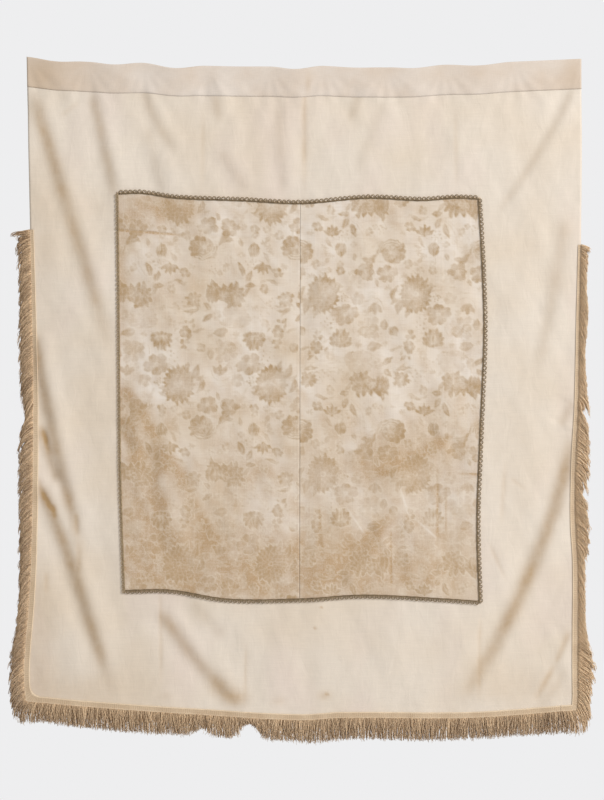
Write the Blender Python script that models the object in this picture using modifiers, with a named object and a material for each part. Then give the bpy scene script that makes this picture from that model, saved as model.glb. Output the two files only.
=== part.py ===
"""Torah ark curtain: an ivory ground cloth with a linen heading, a damask panel of two widths
edged with scalloped lace, and a cut fringe down both sides and along the foot.

Metres, +Z up. The curtain hangs flat against the plane y = 0 and is seen from -Y. The origin is
the middle of the top edge. Every sheet is laid on one shared grid, so that the layers fold
together and stay parted by the same small gap."""

import math
import random
from collections import namedtuple

import bmesh
import bpy
from mathutils import Vector

NAME = "torah_ark_curtain"

# Thicknesses of the layers, and the gaps between them
GROUND_THICK = 0.0012
HEADING_THICK = 0.0012
DAMASK_THICK = 0.0012
LACE_THICK = 0.0014
FRINGE_THICK = 0.0024
LAYER_GAP = 0.00035
SLOPE_ALLOWANCE = 1.15
SEAM_GAP = 0.0004

# Widths of the bands and trims
HEADING_HEIGHT = 0.090
HEADING_LAP = 0.012
LACE_BAND = 0.009
SCALLOP_PITCH = 0.0140
SCALLOP_DEPTH = 0.0042
BRAID_WIDTH = 0.018
LOCK_PITCH = 0.0162

# Where the fringe starts, down each side
FRINGE_TOP_LEFT = -0.490
FRINGE_TOP_RIGHT = -0.525

# Number of grid cells between the named lines, across and down
CELLS_BRAID = 1
CELLS_SIDE = 9
CELLS_LACE = 1
CELLS_WIDTH = 9
CELLS_HEADING = 2
CELLS_LAP = 1
CELLS_ABOVE_PANEL = 6
CELLS_PANEL = 18
CELLS_BELOW_PANEL = 7

# How far the face of the ground cloth stands off the wall
STAND_OFF_TOP = 0.0022
STAND_OFF_HUNG = 0.016
STAND_OFF_RAMP = 0.32
STAND_OFF_LEAST = 0.0020
SAG_FORWARD_SHARE = 0.5
SAG_REACH = 0.11
CENTRE_CREASE = 0.0016
CENTRE_CREASE_WIDTH = 0.030

# The pins along the top edge: where each stands, and how far the edge sags to its right
Pin = namedtuple("Pin", "x z sag")
PINS = (
    Pin(-0.826, 0.036, 0.007),
    Pin(-0.647, 0.021, 0.007),
    Pin(-0.481, 0.018, 0.012),
    Pin(-0.288, 0.009, 0.001),
    Pin(-0.107, 0.007, 0.009),
    Pin(0.056, 0.009, 0.003),
    Pin(0.244, 0.004, 0.006),
    Pin(0.416, 0.012, 0.007),
    Pin(0.621, 0.021, 0.000),
    Pin(0.826, 0.030, 0.000),
)
HEADING_SAG_SHARE = 0.45

# Outlines as (along, across): upright ones give x at a height z, level ones give z at a place x
LEFT_EDGE = (
    (0.040, -0.826),
    (-0.480, -0.814),
    (-0.960, -0.806),
    (-1.440, -0.811),
    (-1.610, -0.820),
    (-1.780, -0.833),
    (-1.880, -0.829),
)
RIGHT_EDGE = (
    (0.040, 0.826),
    (-0.340, 0.825),
    (-0.660, 0.821),
    (-0.990, 0.816),
    (-1.200, 0.806),
    (-1.340, 0.806),
    (-1.480, 0.815),
    (-1.800, 0.814),
    (-1.900, 0.816),
)
PANEL_LEFT = (
    (-0.368, -0.557),
    (-0.750, -0.553),
    (-1.200, -0.549),
    (-1.560, -0.537),
)
PANEL_RIGHT = (
    (-0.383, 0.524),
    (-0.600, 0.536),
    (-0.790, 0.541),
    (-1.117, 0.528),
    (-1.350, 0.520),
    (-1.590, 0.527),
)
PANEL_SEAM = (
    (-0.390, -0.012),
    (-1.580, -0.014),
)
PANEL_TOP = (
    (-0.558, -0.368),
    (-0.480, -0.366),
    (-0.380, -0.380),
    (-0.180, -0.388),
    (-0.005, -0.396),
    (0.190, -0.380),
    (0.350, -0.387),
    (0.450, -0.380),
    (0.524, -0.383),
)
PANEL_BOTTOM = (
    (-0.538, -1.558),
    (-0.400, -1.557),
    (-0.220, -1.584),
    (-0.010, -1.583),
    (0.180, -1.572),
    (0.400, -1.582),
    (0.526, -1.591),
)
FOOT = (
    (-0.830, -1.880),
    (-0.650, -1.898),
    (-0.320, -1.921),
    (-0.010, -1.938),
    (0.110, -1.931),
    (0.490, -1.931),
    (0.780, -1.910),
    (0.820, -1.902),
)

# The main folds. Each runs through three places; the cloth dips on its left and rises on its
# right by half its height, within its width on either side.
Fold = namedtuple("Fold", "x0 z0 x1 z1 x2 z2 width height")
FOLDS = (
    Fold(-0.810, -0.060, -0.720, -0.360, -0.580, -0.800, 0.027, 0.0120),
    Fold(-0.628, -0.060, -0.603, -0.208, -0.564, -0.400, 0.024, 0.0070),
    Fold(-0.479, -0.050, -0.440, -0.155, -0.370, -0.260, 0.022, 0.0070),
    Fold(-0.472, -0.150, -0.440, -0.290, -0.415, -0.380, 0.024, 0.0050),
    Fold(-0.284, -0.010, -0.268, -0.077, -0.250, -0.170, 0.020, 0.0050),
    Fold(-0.256, -0.235, -0.205, -0.315, -0.165, -0.370, 0.024, 0.0050),
    Fold(-0.075, -0.100, -0.070, -0.240, -0.062, -0.390, 0.022, 0.0035),
    Fold(0.175, -0.030, 0.158, -0.090, 0.132, -0.170, 0.022, 0.0045),
    Fold(0.232, -0.080, 0.200, -0.205, 0.142, -0.325, 0.026, 0.0050),
    Fold(0.812, -0.030, 0.690, -0.260, 0.545, -0.470, 0.028, 0.0100),
    Fold(0.780, -0.430, 0.742, -0.656, 0.685, -0.940, 0.030, 0.0075),
    Fold(0.800, -0.985, 0.780, -1.030, 0.760, -1.070, 0.020, 0.0050),
    Fold(0.806, -1.060, 0.676, -1.490, 0.450, -1.905, 0.030, 0.0150),
    Fold(-0.806, -0.770, -0.757, -1.030, -0.665, -1.410, 0.028, 0.0130),
    Fold(-0.796, -1.050, -0.756, -1.160, -0.728, -1.240, 0.022, 0.0070),
    Fold(-0.796, -1.220, -0.694, -1.470, -0.565, -1.880, 0.028, 0.0130),
    Fold(-0.430, -1.620, -0.333, -1.743, -0.170, -1.915, 0.030, 0.0110),
    Fold(-0.340, -1.580, -0.288, -1.636, -0.235, -1.700, 0.028, 0.0060),
    Fold(0.768, -1.700, 0.750, -1.770, 0.726, -1.840, 0.020, 0.0050),
    Fold(0.782, -1.770, 0.740, -1.850, 0.680, -1.910, 0.020, 0.0060),
    Fold(0.425, -1.095, 0.333, -1.152, 0.230, -1.205, 0.030, 0.0070),
    Fold(0.235, -1.375, 0.166, -1.443, 0.095, -1.510, 0.030, 0.0060),
    Fold(-0.545, -1.030, -0.520, -1.085, -0.495, -1.150, 0.026, 0.0060),
    Fold(-0.432, -1.080, -0.424, -1.290, -0.385, -1.490, 0.028, 0.0060),
)
FOLD_STEPS = 10
FOLD_RUN_IN = 0.16
FOLD_RUN_OUT = 0.30

# The fringe: how far its tips reach outward, and how far they drop, at places along each edge.
# Places are heights down the sides and x along the foot; at the foot the drop is the length.
Reach = namedtuple("Reach", "at out drop")
LEFT_REACH = (
    Reach(-0.490, 0.040, 0.030),
    Reach(-0.560, 0.033, 0.042),
    Reach(-0.900, 0.034, 0.044),
    Reach(-0.985, 0.026, 0.050),
    Reach(-1.030, 0.021, 0.052),
    Reach(-1.080, 0.034, 0.044),
    Reach(-1.200, 0.037, 0.042),
    Reach(-1.400, 0.032, 0.046),
    Reach(-1.600, 0.030, 0.046),
    Reach(-1.680, 0.038, 0.044),
    Reach(-1.800, 0.037, 0.046),
    Reach(-1.880, 0.034, 0.052),
)
RIGHT_REACH = (
    Reach(-0.525, 0.019, 0.040),
    Reach(-0.600, 0.016, 0.048),
    Reach(-0.700, 0.021, 0.048),
    Reach(-0.790, 0.014, 0.052),
    Reach(-0.930, 0.022, 0.048),
    Reach(-0.975, 0.027, 0.044),
    Reach(-0.992, 0.006, 0.030),
    Reach(-1.020, 0.024, 0.044),
    Reach(-1.080, 0.032, 0.042),
    Reach(-1.190, 0.033, 0.042),
    Reach(-1.228, 0.019, 0.044),
    Reach(-1.270, 0.034, 0.042),
    Reach(-1.390, 0.033, 0.042),
    Reach(-1.420, 0.021, 0.048),
    Reach(-1.590, 0.019, 0.050),
    Reach(-1.680, 0.030, 0.046),
    Reach(-1.740, 0.044, 0.040),
    Reach(-1.800, 0.037, 0.044),
    Reach(-1.900, 0.030, 0.056),
)
FOOT_REACH = (
    Reach(-0.820, -0.012, 0.050),
    Reach(-0.780, -0.004, 0.054),
    Reach(-0.650, 0.000, 0.061),
    Reach(-0.350, 0.002, 0.060),
    Reach(-0.300, 0.002, 0.042),
    Reach(-0.268, 0.002, 0.060),
    Reach(-0.210, 0.000, 0.057),
    Reach(-0.180, 0.000, 0.028),
    Reach(-0.158, 0.000, 0.018),
    Reach(-0.138, 0.000, 0.036),
    Reach(-0.118, 0.000, 0.056),
    Reach(-0.020, 0.000, 0.063),
    Reach(0.060, 0.000, 0.066),
    Reach(0.160, -0.002, 0.061),
    Reach(0.300, -0.002, 0.064),
    Reach(0.590, 0.000, 0.060),
    Reach(0.760, 0.004, 0.062),
    Reach(0.815, 0.012, 0.058),
)
CORNER_OUT = 0.018
CORNER_DROP = 0.058
LOCK_WAIST_ALONG = 0.52
LOCK_WAIST_WIDTH = 0.80
LOCK_TIP_WIDTH = 0.42
LOCK_BULGE = (0.008, 0.003)
LOCK_TIP_FORWARD = (0.006, 0.001)
LOCK_LENGTH_SPREAD = 0.10
LOCK_SIDE_SPREAD = 0.0018
SEED = 7

# Finish of each piece: red, green and blue from 0 to 255 as seen, and roughness
Finish = namedtuple("Finish", "colour roughness")
FULL_COLOUR = 255.0
DISPLAY_GAMMA = 2.2
FINISHES = {
    "ground": Finish((228, 216, 198), 0.72),
    "heading": Finish((216, 204, 190), 0.85),
    "damask": Finish((210, 190, 166), 0.60),
    "lace": Finish((122, 104, 80), 0.50),
    "fringe": Finish((164, 138, 108), 0.75),
}


def clear_scene():
    for obj in list(bpy.data.objects):
        bpy.data.objects.remove(obj, do_unlink=True)


def smooth_step(t):
    t = min(1.0, max(0.0, t))
    return t * t * (3.0 - 2.0 * t)


def along_curve(table, at):
    """The smooth curve through a table of (place, value) rows, read at one place."""
    rows = sorted(table)
    if at <= rows[0][0]:
        return rows[0][1]
    if at >= rows[-1][0]:
        return rows[-1][1]
    slopes = []
    for k in range(len(rows)):
        before = rows[max(k - 1, 0)]
        after = rows[min(k + 1, len(rows) - 1)]
        slopes.append((after[1] - before[1]) / (after[0] - before[0]))
    k = next(k for k in range(len(rows) - 1) if at <= rows[k + 1][0])
    span = rows[k + 1][0] - rows[k][0]
    t = (at - rows[k][0]) / span
    rise = rows[k + 1][1] - rows[k][1]
    ease = smooth_step(t)
    lean_in = t * (1.0 - t) ** 2 * span * slopes[k]
    lean_out = t * t * (t - 1.0) * span * slopes[k + 1]
    return rows[k][1] + rise * ease + lean_in + lean_out


def pin_stretch(x):
    """The pin to the left of x, the one to its right, and the share of the way between them."""
    x = min(PINS[-1].x, max(PINS[0].x, x))
    k = next(k for k in range(len(PINS) - 1) if x <= PINS[k + 1].x)
    left, right = PINS[k], PINS[k + 1]
    return left, right, (x - left.x) / (right.x - left.x)


def top_edge(x, sag_share=1.0):
    left, right, t = pin_stretch(x)
    sag = sag_share * left.sag * math.sin(math.pi * t) ** 2
    return left.z + (right.z - left.z) * t - sag


def heading_seam(x):
    return top_edge(x, HEADING_SAG_SHARE) - HEADING_HEIGHT


def fold_path(fold):
    """Places along a fold: a curve that passes through its three given places."""
    start = Vector((fold.x0, fold.z0))
    middle = Vector((fold.x1, fold.z1))
    end = Vector((fold.x2, fold.z2))
    pull = 2.0 * middle - (start + end) / 2.0
    path = []
    for k in range(FOLD_STEPS + 1):
        t = k / FOLD_STEPS
        path.append(start * (1 - t) ** 2 + pull * 2 * t * (1 - t) + end * t * t)
    return path


def beside_path(path, here):
    """The signed distance from a path, plus on its +X side, and the share of the way along."""
    best = None
    for k in range(len(path) - 1):
        run = path[k + 1] - path[k]
        away = here - path[k]
        t = min(1.0, max(0.0, away.dot(run) / run.length_squared))
        distance = (away - run * t).length
        if best is None or distance < best[0]:
            side = 1.0 if away.x * -run.y + away.y * run.x >= 0.0 else -1.0
            best = (distance, side, (k + t) / (len(path) - 1))
    return best[0] * best[1], best[2]


FOLD_PATHS = [(fold, fold_path(fold)) for fold in FOLDS]


def fold_relief(x, z):
    """What the folds add to the stand-off at one place."""
    total = 0.0
    for fold, path in FOLD_PATHS:
        offset, t = beside_path(path, Vector((x, z)))
        s = offset / fold.width
        fade = smooth_step(t / FOLD_RUN_IN) * smooth_step((1.0 - t) / FOLD_RUN_OUT)
        total += fade * fold.height / 2.0 * s * math.exp(0.5 * (1.0 - s * s))
    return total


def stand_off(x, z):
    """How far the face of the ground cloth stands off the wall."""
    below = top_edge(x) - z
    hung = smooth_step(below / STAND_OFF_RAMP)
    base = STAND_OFF_TOP + (STAND_OFF_HUNG - STAND_OFF_TOP) * hung
    left, _, t = pin_stretch(x)
    swag = left.sag * SAG_FORWARD_SHARE * math.sin(math.pi * t) ** 2
    forward = swag * math.exp(-((below / SAG_REACH) ** 2))
    crease = CENTRE_CREASE * math.exp(-((x / CENTRE_CREASE_WIDTH) ** 2)) * hung
    ease_in = smooth_step(below / HEADING_HEIGHT)
    depth = base + forward - crease + fold_relief(x, z) * ease_in
    return max(STAND_OFF_LEAST, depth)


def upright_lines():
    """The named lines that run down the curtain, and the cells from each to the next."""
    def braid_left(z):
        return along_curve(LEFT_EDGE, z) + BRAID_WIDTH

    def lace_left(z):
        return along_curve(PANEL_LEFT, z) + LACE_BAND

    def lace_right(z):
        return along_curve(PANEL_RIGHT, z) - LACE_BAND

    def braid_right(z):
        return along_curve(RIGHT_EDGE, z) - BRAID_WIDTH

    return (
        (lambda z: along_curve(LEFT_EDGE, z), CELLS_BRAID),
        (braid_left, CELLS_SIDE),
        (lambda z: along_curve(PANEL_LEFT, z), CELLS_LACE),
        (lace_left, CELLS_WIDTH),
        (lambda z: along_curve(PANEL_SEAM, z), CELLS_WIDTH),
        (lace_right, CELLS_LACE),
        (lambda z: along_curve(PANEL_RIGHT, z), CELLS_SIDE),
        (braid_right, CELLS_BRAID),
        (lambda z: along_curve(RIGHT_EDGE, z), 0),
    )


def level_lines():
    """The named lines that run across the curtain, and the cells from each to the next."""
    return (
        (top_edge, CELLS_HEADING),
        (lambda x: heading_seam(x) + HEADING_LAP, CELLS_LAP),
        (heading_seam, CELLS_ABOVE_PANEL),
        (lambda x: along_curve(PANEL_TOP, x), CELLS_LACE),
        (lambda x: along_curve(PANEL_TOP, x) - LACE_BAND, CELLS_PANEL),
        (lambda x: along_curve(PANEL_BOTTOM, x) + LACE_BAND, CELLS_LACE),
        (lambda x: along_curve(PANEL_BOTTOM, x), CELLS_BELOW_PANEL),
        (lambda x: along_curve(FOOT, x) + BRAID_WIDTH, CELLS_BRAID),
        (lambda x: along_curve(FOOT, x), 0),
    )


def spread_lines(lines):
    """Each grid line as (named line before, named line after, share of the way), and the index
    of each named line."""
    spread, index = [], []
    for k, (line, cells) in enumerate(lines):
        index.append(len(spread))
        after = lines[min(k + 1, len(lines) - 1)][0]
        for step in range(max(cells, 1)):
            spread.append((line, after, step / max(cells, 1)))
    return spread, index


def read_line(entry, at):
    before, after, share = entry
    return before(at) * (1.0 - share) + after(at) * share


UPRIGHTS, UPRIGHT_AT = spread_lines(upright_lines())
LEVELS, LEVEL_AT = spread_lines(level_lines())
EDGE_L, BRAID_L, PANEL_L, LACE_L, SEAM, LACE_R, PANEL_R, BRAID_R, EDGE_R = UPRIGHT_AT
TOP, LAP, HEAD_SEAM, PANEL_T, LACE_T, LACE_B, PANEL_B, BRAID_B, FOOT_ROW = LEVEL_AT
MIDDLE_HEIGHT = -1.0
PLACE_ROUNDS = 4


def grid_place(i, j):
    """Where grid line i down the curtain crosses grid line j across it, on the ground's face."""
    z = MIDDLE_HEIGHT
    for _ in range(PLACE_ROUNDS):
        x = read_line(UPRIGHTS[i], z)
        z = read_line(LEVELS[j], x)
    return Vector((x, -stand_off(x, z), z))


GRID = {(i, j): grid_place(i, j) for i in range(EDGE_R + 1) for j in range(FOOT_ROW + 1)}


def diagonal(i, j):
    """The two corners that the diagonal of a cell joins. It runs with the folds: down to the
    right in the left half, down to the left in the right half, but out to the two foot corners."""
    down_right = i < SEAM
    if j == FOOT_ROW - 1 and i in (EDGE_L, EDGE_R - 1):
        down_right = not down_right
    if down_right:
        return {(i, j), (i + 1, j + 1)}
    return {(i + 1, j), (i, j + 1)}


def part_way(start, end, distance):
    """The place a distance along from one place towards another."""
    return start + (end - start).normalized() * distance


def lifted(place, lift):
    return Vector((place.x, place.y - lift, place.z))


def face_front(mesh):
    """Turn every face to the front, so that the thickness grows from one side of the sheet."""
    mesh.normal_update()
    for face in mesh.faces:
        if face.normal.y > 0.0:
            face.normal_flip()


def add_material(key):
    finish = FINISHES[key]
    material = bpy.data.materials.get(key) or bpy.data.materials.new(key)
    material.use_nodes = True
    shader = material.node_tree.nodes["Principled BSDF"]
    colour = [(value / FULL_COLOUR) ** DISPLAY_GAMMA for value in finish.colour]
    shader.inputs["Base Color"].default_value = (*colour, 1.0)
    shader.inputs["Roughness"].default_value = finish.roughness
    shader.inputs["Metallic"].default_value = 0.0
    material.diffuse_color = (*colour, 1.0)
    return material


def add_piece(name, key, mesh, thickness, grows_forward):
    """One sheet as an object: an open surface that is given its thickness to one side."""
    face_front(mesh)
    data = bpy.data.meshes.new(name)
    mesh.to_mesh(data)
    mesh.free()
    piece = bpy.data.objects.new(name, data)
    piece.data.materials.append(add_material(key))
    COLLECTION.objects.link(piece)
    solid = piece.modifiers.new("thickness", "SOLIDIFY")
    solid.thickness = thickness
    solid.offset = 1.0 if grows_forward else -1.0
    return piece


def sheet_surface(columns, rows, lift, gap_left=0.0, gap_right=0.0):
    """A stretch of the grid as a surface, drawn in by a small gap at either side."""
    mesh = bmesh.new()
    points = {}
    for j in range(rows[0], rows[1] + 1):
        for i in range(columns[0], columns[1] + 1):
            place = GRID[i, j]
            if i == columns[0] and gap_left:
                place = part_way(place, GRID[i + 1, j], gap_left)
            if i == columns[1] and gap_right:
                place = part_way(place, GRID[i - 1, j], gap_right)
            points[i, j] = mesh.verts.new(lifted(place, lift))
    for j in range(rows[0], rows[1]):
        for i in range(columns[0], columns[1]):
            ring = [(i, j), (i, j + 1), (i + 1, j + 1), (i + 1, j)]
            ends = diagonal(i, j)
            while ring[0] not in ends:
                ring = ring[1:] + ring[:1]
            mesh.faces.new([points[ring[k]] for k in (0, 1, 2)])
            mesh.faces.new([points[ring[k]] for k in (0, 2, 3)])
    return mesh


def trim_surface(stations, lift, pitch, add_tooth, gap_start=0.0, gap_end=0.0):
    """A band along an edge, with teeth on its outer side. A station is a pair of grid places:
    one on the outer edge and one on the inner. add_tooth(mesh, root, root, count) makes a tooth."""
    mesh = bmesh.new()

    def pulled_in(k, side):
        place = GRID[stations[k][side]]
        if k == 0 and gap_start:
            place = part_way(place, GRID[stations[1][side]], gap_start)
        if k == len(stations) - 1 and gap_end:
            place = part_way(place, GRID[stations[k - 1][side]], gap_end)
        return lifted(place, lift)

    outer = [mesh.verts.new(pulled_in(k, 0)) for k in range(len(stations))]
    inner = []
    for k, station in enumerate(stations):
        if k and station[1] == stations[k - 1][1]:
            inner.append(inner[-1])
        else:
            inner.append(mesh.verts.new(pulled_in(k, 1)))
    count = 0
    for k in range(len(stations) - 1):
        start, end = outer[k], outer[k + 1]
        teeth = max(1, round((end.co - start.co).length / pitch))
        roots = [start]
        for step in range(1, teeth):
            roots.append(mesh.verts.new(start.co.lerp(end.co, step / teeth)))
        roots.append(end)
        if inner[k] is inner[k + 1]:
            mesh.faces.new(roots + [inner[k]])
        else:
            corner = [stations[k][0], stations[k][1], stations[k + 1][0], stations[k + 1][1]]
            cell = (min(c[0] for c in corner), min(c[1] for c in corner))
            if diagonal(*cell) == {stations[k][0], stations[k + 1][1]}:
                mesh.faces.new(roots + [inner[k + 1]])
                mesh.faces.new([start, inner[k + 1], inner[k]])
            else:
                mesh.faces.new(roots + [inner[k]])
                mesh.faces.new([inner[k], end, inner[k + 1]])
        for step in range(teeth):
            add_tooth(mesh, roots[step], roots[step + 1], count)
            count += 1
    return mesh


def scallop(out):
    """A maker of lace scallops that point outward, in the direction given."""
    def add(mesh, start, end, _):
        tip = (start.co + end.co) / 2.0 + out * SCALLOP_DEPTH
        mesh.faces.new([start, mesh.verts.new(tip), end])

    return add


def reach_at(table, at):
    out = along_curve([(row.at, row.out) for row in table], at)
    drop = along_curve([(row.at, row.drop) for row in table], at)
    return out, drop


def lock(reach_of, seed):
    """A maker of fringe locks. reach_of(root, half) gives the outward and downward run of the
    tip. Every other lock lies further forward, so that neighbours that cross stay parted."""
    draw = random.Random(seed)

    def add(mesh, start, end, count):
        root = (start.co + end.co) / 2.0
        half = (end.co - start.co) / 2.0
        run = reach_of(root, half) * (1.0 + LOCK_LENGTH_SPREAD * draw.uniform(-1.0, 1.0))
        slip = half.normalized() * LOCK_SIDE_SPREAD * draw.uniform(-1.0, 1.0)
        waist = lifted(root + run * LOCK_WAIST_ALONG, LOCK_BULGE[count % 2])
        tip = lifted(root + run + slip, LOCK_TIP_FORWARD[count % 2])
        waists = [mesh.verts.new(waist + half * LOCK_WAIST_WIDTH * side) for side in (-1, 1)]
        tips = [mesh.verts.new(tip + half * LOCK_TIP_WIDTH * side) for side in (-1, 1)]
        mesh.faces.new([start, waists[0], waists[1], end])
        mesh.faces.new([waists[0], tips[0], tips[1], waists[1]])

    return add


def side_reach(table, outward):
    """The run of a side fringe's lock, which turns to near upright once past the foot corner."""
    def run(root, half):
        if abs(half.x) > abs(half.z):
            return Vector((outward * CORNER_OUT, 0.0, -CORNER_DROP))
        out, drop = reach_at(table, root.z)
        return Vector((outward * out, 0.0, -drop))

    return run


def foot_reach(root, _):
    out, drop = reach_at(FOOT_REACH, root.x)
    return Vector((out, 0.0, -drop))


def add_sheets():
    add_piece("ground", "ground",
              sheet_surface((EDGE_L, EDGE_R), (LAP, FOOT_ROW), 0.0), GROUND_THICK, False)
    add_piece("heading", "heading",
              sheet_surface((EDGE_L, EDGE_R), (TOP, HEAD_SEAM), LAYER_GAP), HEADING_THICK, True)
    rows = (PANEL_T, PANEL_B)
    left = sheet_surface((PANEL_L, SEAM), rows, LAYER_GAP, gap_right=SEAM_GAP / 2)
    right = sheet_surface((SEAM, PANEL_R), rows, LAYER_GAP, gap_left=SEAM_GAP / 2)
    add_piece("damask_left", "damask", left, DAMASK_THICK, True)
    add_piece("damask_right", "damask", right, DAMASK_THICK, True)


def add_lace():
    """Four lace strips over the raw edges of the damask, the level ones between the upright."""
    lift = LAYER_GAP + DAMASK_THICK * SLOPE_ALLOWANCE + LAYER_GAP
    rows = range(PANEL_T, PANEL_B + 1)
    columns = range(LACE_L, LACE_R + 1)
    sides = (
        ("lace_left", [((PANEL_L, j), (LACE_L, j)) for j in rows], (-1, 0, 0), 0.0),
        ("lace_right", [((PANEL_R, j), (LACE_R, j)) for j in rows], (1, 0, 0), 0.0),
        ("lace_top", [((i, PANEL_T), (i, LACE_T)) for i in columns], (0, 0, 1), SEAM_GAP),
        ("lace_bottom", [((i, PANEL_B), (i, LACE_B)) for i in columns], (0, 0, -1), SEAM_GAP),
    )
    for name, stations, out, gap in sides:
        mesh = trim_surface(stations, lift, SCALLOP_PITCH, scallop(Vector(out)), gap, gap)
        add_piece(name, "lace", mesh, LACE_THICK, True)


def fringe_rows(edge, start):
    """The grid rows of a side fringe, from the one nearest its start down to the foot."""
    first = min(range(FOOT_ROW), key=lambda j: abs(GRID[edge, j].z - start))
    return range(first, FOOT_ROW)


def add_fringe():
    """Three braids with their locks fused to them: the side ones turn the foot's corners."""
    left = [((EDGE_L, j), (BRAID_L, j)) for j in fringe_rows(EDGE_L, FRINGE_TOP_LEFT)]
    left += [((EDGE_L, FOOT_ROW), (BRAID_L, BRAID_B)), ((BRAID_L, FOOT_ROW), (BRAID_L, BRAID_B))]
    right = [((EDGE_R, j), (BRAID_R, j)) for j in fringe_rows(EDGE_R, FRINGE_TOP_RIGHT)]
    right += [((EDGE_R, FOOT_ROW), (BRAID_R, BRAID_B)), ((BRAID_R, FOOT_ROW), (BRAID_R, BRAID_B))]
    foot = [((i, FOOT_ROW), (i, BRAID_B)) for i in range(BRAID_L, BRAID_R + 1)]
    strips = (
        ("fringe_left", left, side_reach(LEFT_REACH, -1.0), 0.0),
        ("fringe_right", right, side_reach(RIGHT_REACH, 1.0), 0.0),
        ("fringe_bottom", foot, foot_reach, SEAM_GAP),
    )
    for k, (name, stations, reach, gap) in enumerate(strips):
        add_lock = lock(reach, SEED + k)
        mesh = trim_surface(stations, LAYER_GAP, LOCK_PITCH, add_lock, gap, gap)
        add_piece(name, "fringe", mesh, FRINGE_THICK, True)


clear_scene()
COLLECTION = bpy.data.collections.new(NAME)
bpy.context.scene.collection.children.link(COLLECTION)
add_sheets()
add_lace()
add_fringe()
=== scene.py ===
"""The looks of the torah ark curtain: ribbed silk, a linen heading, a figured damask panel of
two widths, metal lace round it, and a braid with its cut fringe.

Metres, +Z up, seen from -Y, with the origin at the middle of the top edge. Every layer lies on
one shared relief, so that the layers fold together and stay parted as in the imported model."""

import math
from collections import namedtuple

import bmesh
import bpy
import numpy as np
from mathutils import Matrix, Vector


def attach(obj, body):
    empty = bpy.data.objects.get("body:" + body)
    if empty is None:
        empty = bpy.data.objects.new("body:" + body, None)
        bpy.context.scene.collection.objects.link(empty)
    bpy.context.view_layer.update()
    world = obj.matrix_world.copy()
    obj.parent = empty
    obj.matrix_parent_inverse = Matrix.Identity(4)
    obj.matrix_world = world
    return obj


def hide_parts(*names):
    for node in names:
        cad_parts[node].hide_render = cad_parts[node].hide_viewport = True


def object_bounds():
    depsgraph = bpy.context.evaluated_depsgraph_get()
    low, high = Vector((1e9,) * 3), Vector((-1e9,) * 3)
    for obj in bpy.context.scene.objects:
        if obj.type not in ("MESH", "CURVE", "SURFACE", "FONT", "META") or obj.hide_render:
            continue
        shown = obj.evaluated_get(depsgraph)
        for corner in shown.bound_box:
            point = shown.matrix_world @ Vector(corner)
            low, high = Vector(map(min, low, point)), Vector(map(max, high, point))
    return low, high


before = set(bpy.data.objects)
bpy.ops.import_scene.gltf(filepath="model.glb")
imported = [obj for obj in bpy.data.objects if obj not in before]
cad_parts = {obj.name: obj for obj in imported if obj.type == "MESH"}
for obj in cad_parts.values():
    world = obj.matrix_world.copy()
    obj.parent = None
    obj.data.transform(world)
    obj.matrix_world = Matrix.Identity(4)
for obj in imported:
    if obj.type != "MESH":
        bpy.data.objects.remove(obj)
CAD_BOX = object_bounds()
TURN = 2 * math.pi


def smooth_step(t):
    t = np.clip(t, 0, 1)
    return t * t * (3 - 2 * t)


def charted(*table):
    """Rows of millimetres, and thousandths of a share or strength, as metres and shares."""
    return np.array(table) / 1000


def curve(*table):
    """The smooth curve through rows of (place, value), as a function of the place."""
    places, values = charted(*sorted(table)).T
    last = len(places) - 1
    index = np.arange(last + 1)
    before, after = np.maximum(index - 1, 0), np.minimum(index + 1, last)
    slopes = (values[after] - values[before]) / (places[after] - places[before])

    def read(at):
        at = np.clip(at, places[0], places[-1])
        k = np.clip(np.searchsorted(places, at) - 1, 0, last - 1)
        span = places[k + 1] - places[k]
        t = (at - places[k]) / span
        lean_in = t * (1 - t) ** 2 * span * slopes[k]
        lean_out = t * t * (t - 1) * span * slopes[k + 1]
        return values[k] + (values[k + 1] - values[k]) * smooth_step(t) + lean_in + lean_out

    return read


def reach(*table):
    """Rows of (place, out, drop) as one function, which gives both at a place."""
    out = curve(*((at, out) for at, out, _ in table))
    drop = curve(*((at, drop) for at, _, drop in table))
    return lambda at: (out(at), drop(at))


# The thickness of the layers, and the gaps between them
CLOTH_THICK = 0.0012
LAYER_GAP = 0.00035
SLOPE_ALLOWANCE = 1.15
SEAM_GAP = 0.0004
DAMASK_LIFT = LAYER_GAP + CLOTH_THICK
LACE_LIFT = LAYER_GAP + CLOTH_THICK * SLOPE_ALLOWANCE + LAYER_GAP

# Widths of the bands and trims
HEADING_HEIGHT = 0.09
HEADING_LAP = 0.012
LACE_PITCH = 0.0138
BRAID_WIDTH = 0.018
FRINGE_TOP_LEFT = -0.48
FRINGE_TOP_RIGHT = -0.525

# How far the face of the ground cloth stands off the wall
STAND_OFF_TOP = 0.0022
STAND_OFF_HUNG = 0.016
STAND_OFF_RAMP = 0.32
STAND_OFF_LEAST = 0.002
SAG_FORWARD_SHARE = 0.5
SAG_REACH = 0.11
CENTRE_CREASE = 0.0016
CENTRE_CREASE_WIDTH = 0.03

# The pins along the top edge: where each stands, and how far the edge sags to its right
PIN_X, PIN_Z, PIN_SAG = charted(
    (-826, 36, 7), (-647, 21, 7), (-481, 18, 12), (-288, 9, 1), (-107, 7, 9), (56, 9, 3),
    (244, 4, 6), (416, 12, 7), (621, 21, 0), (826, 30, 0),
).T
HEADING_SAG_SHARE = 0.45

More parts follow.
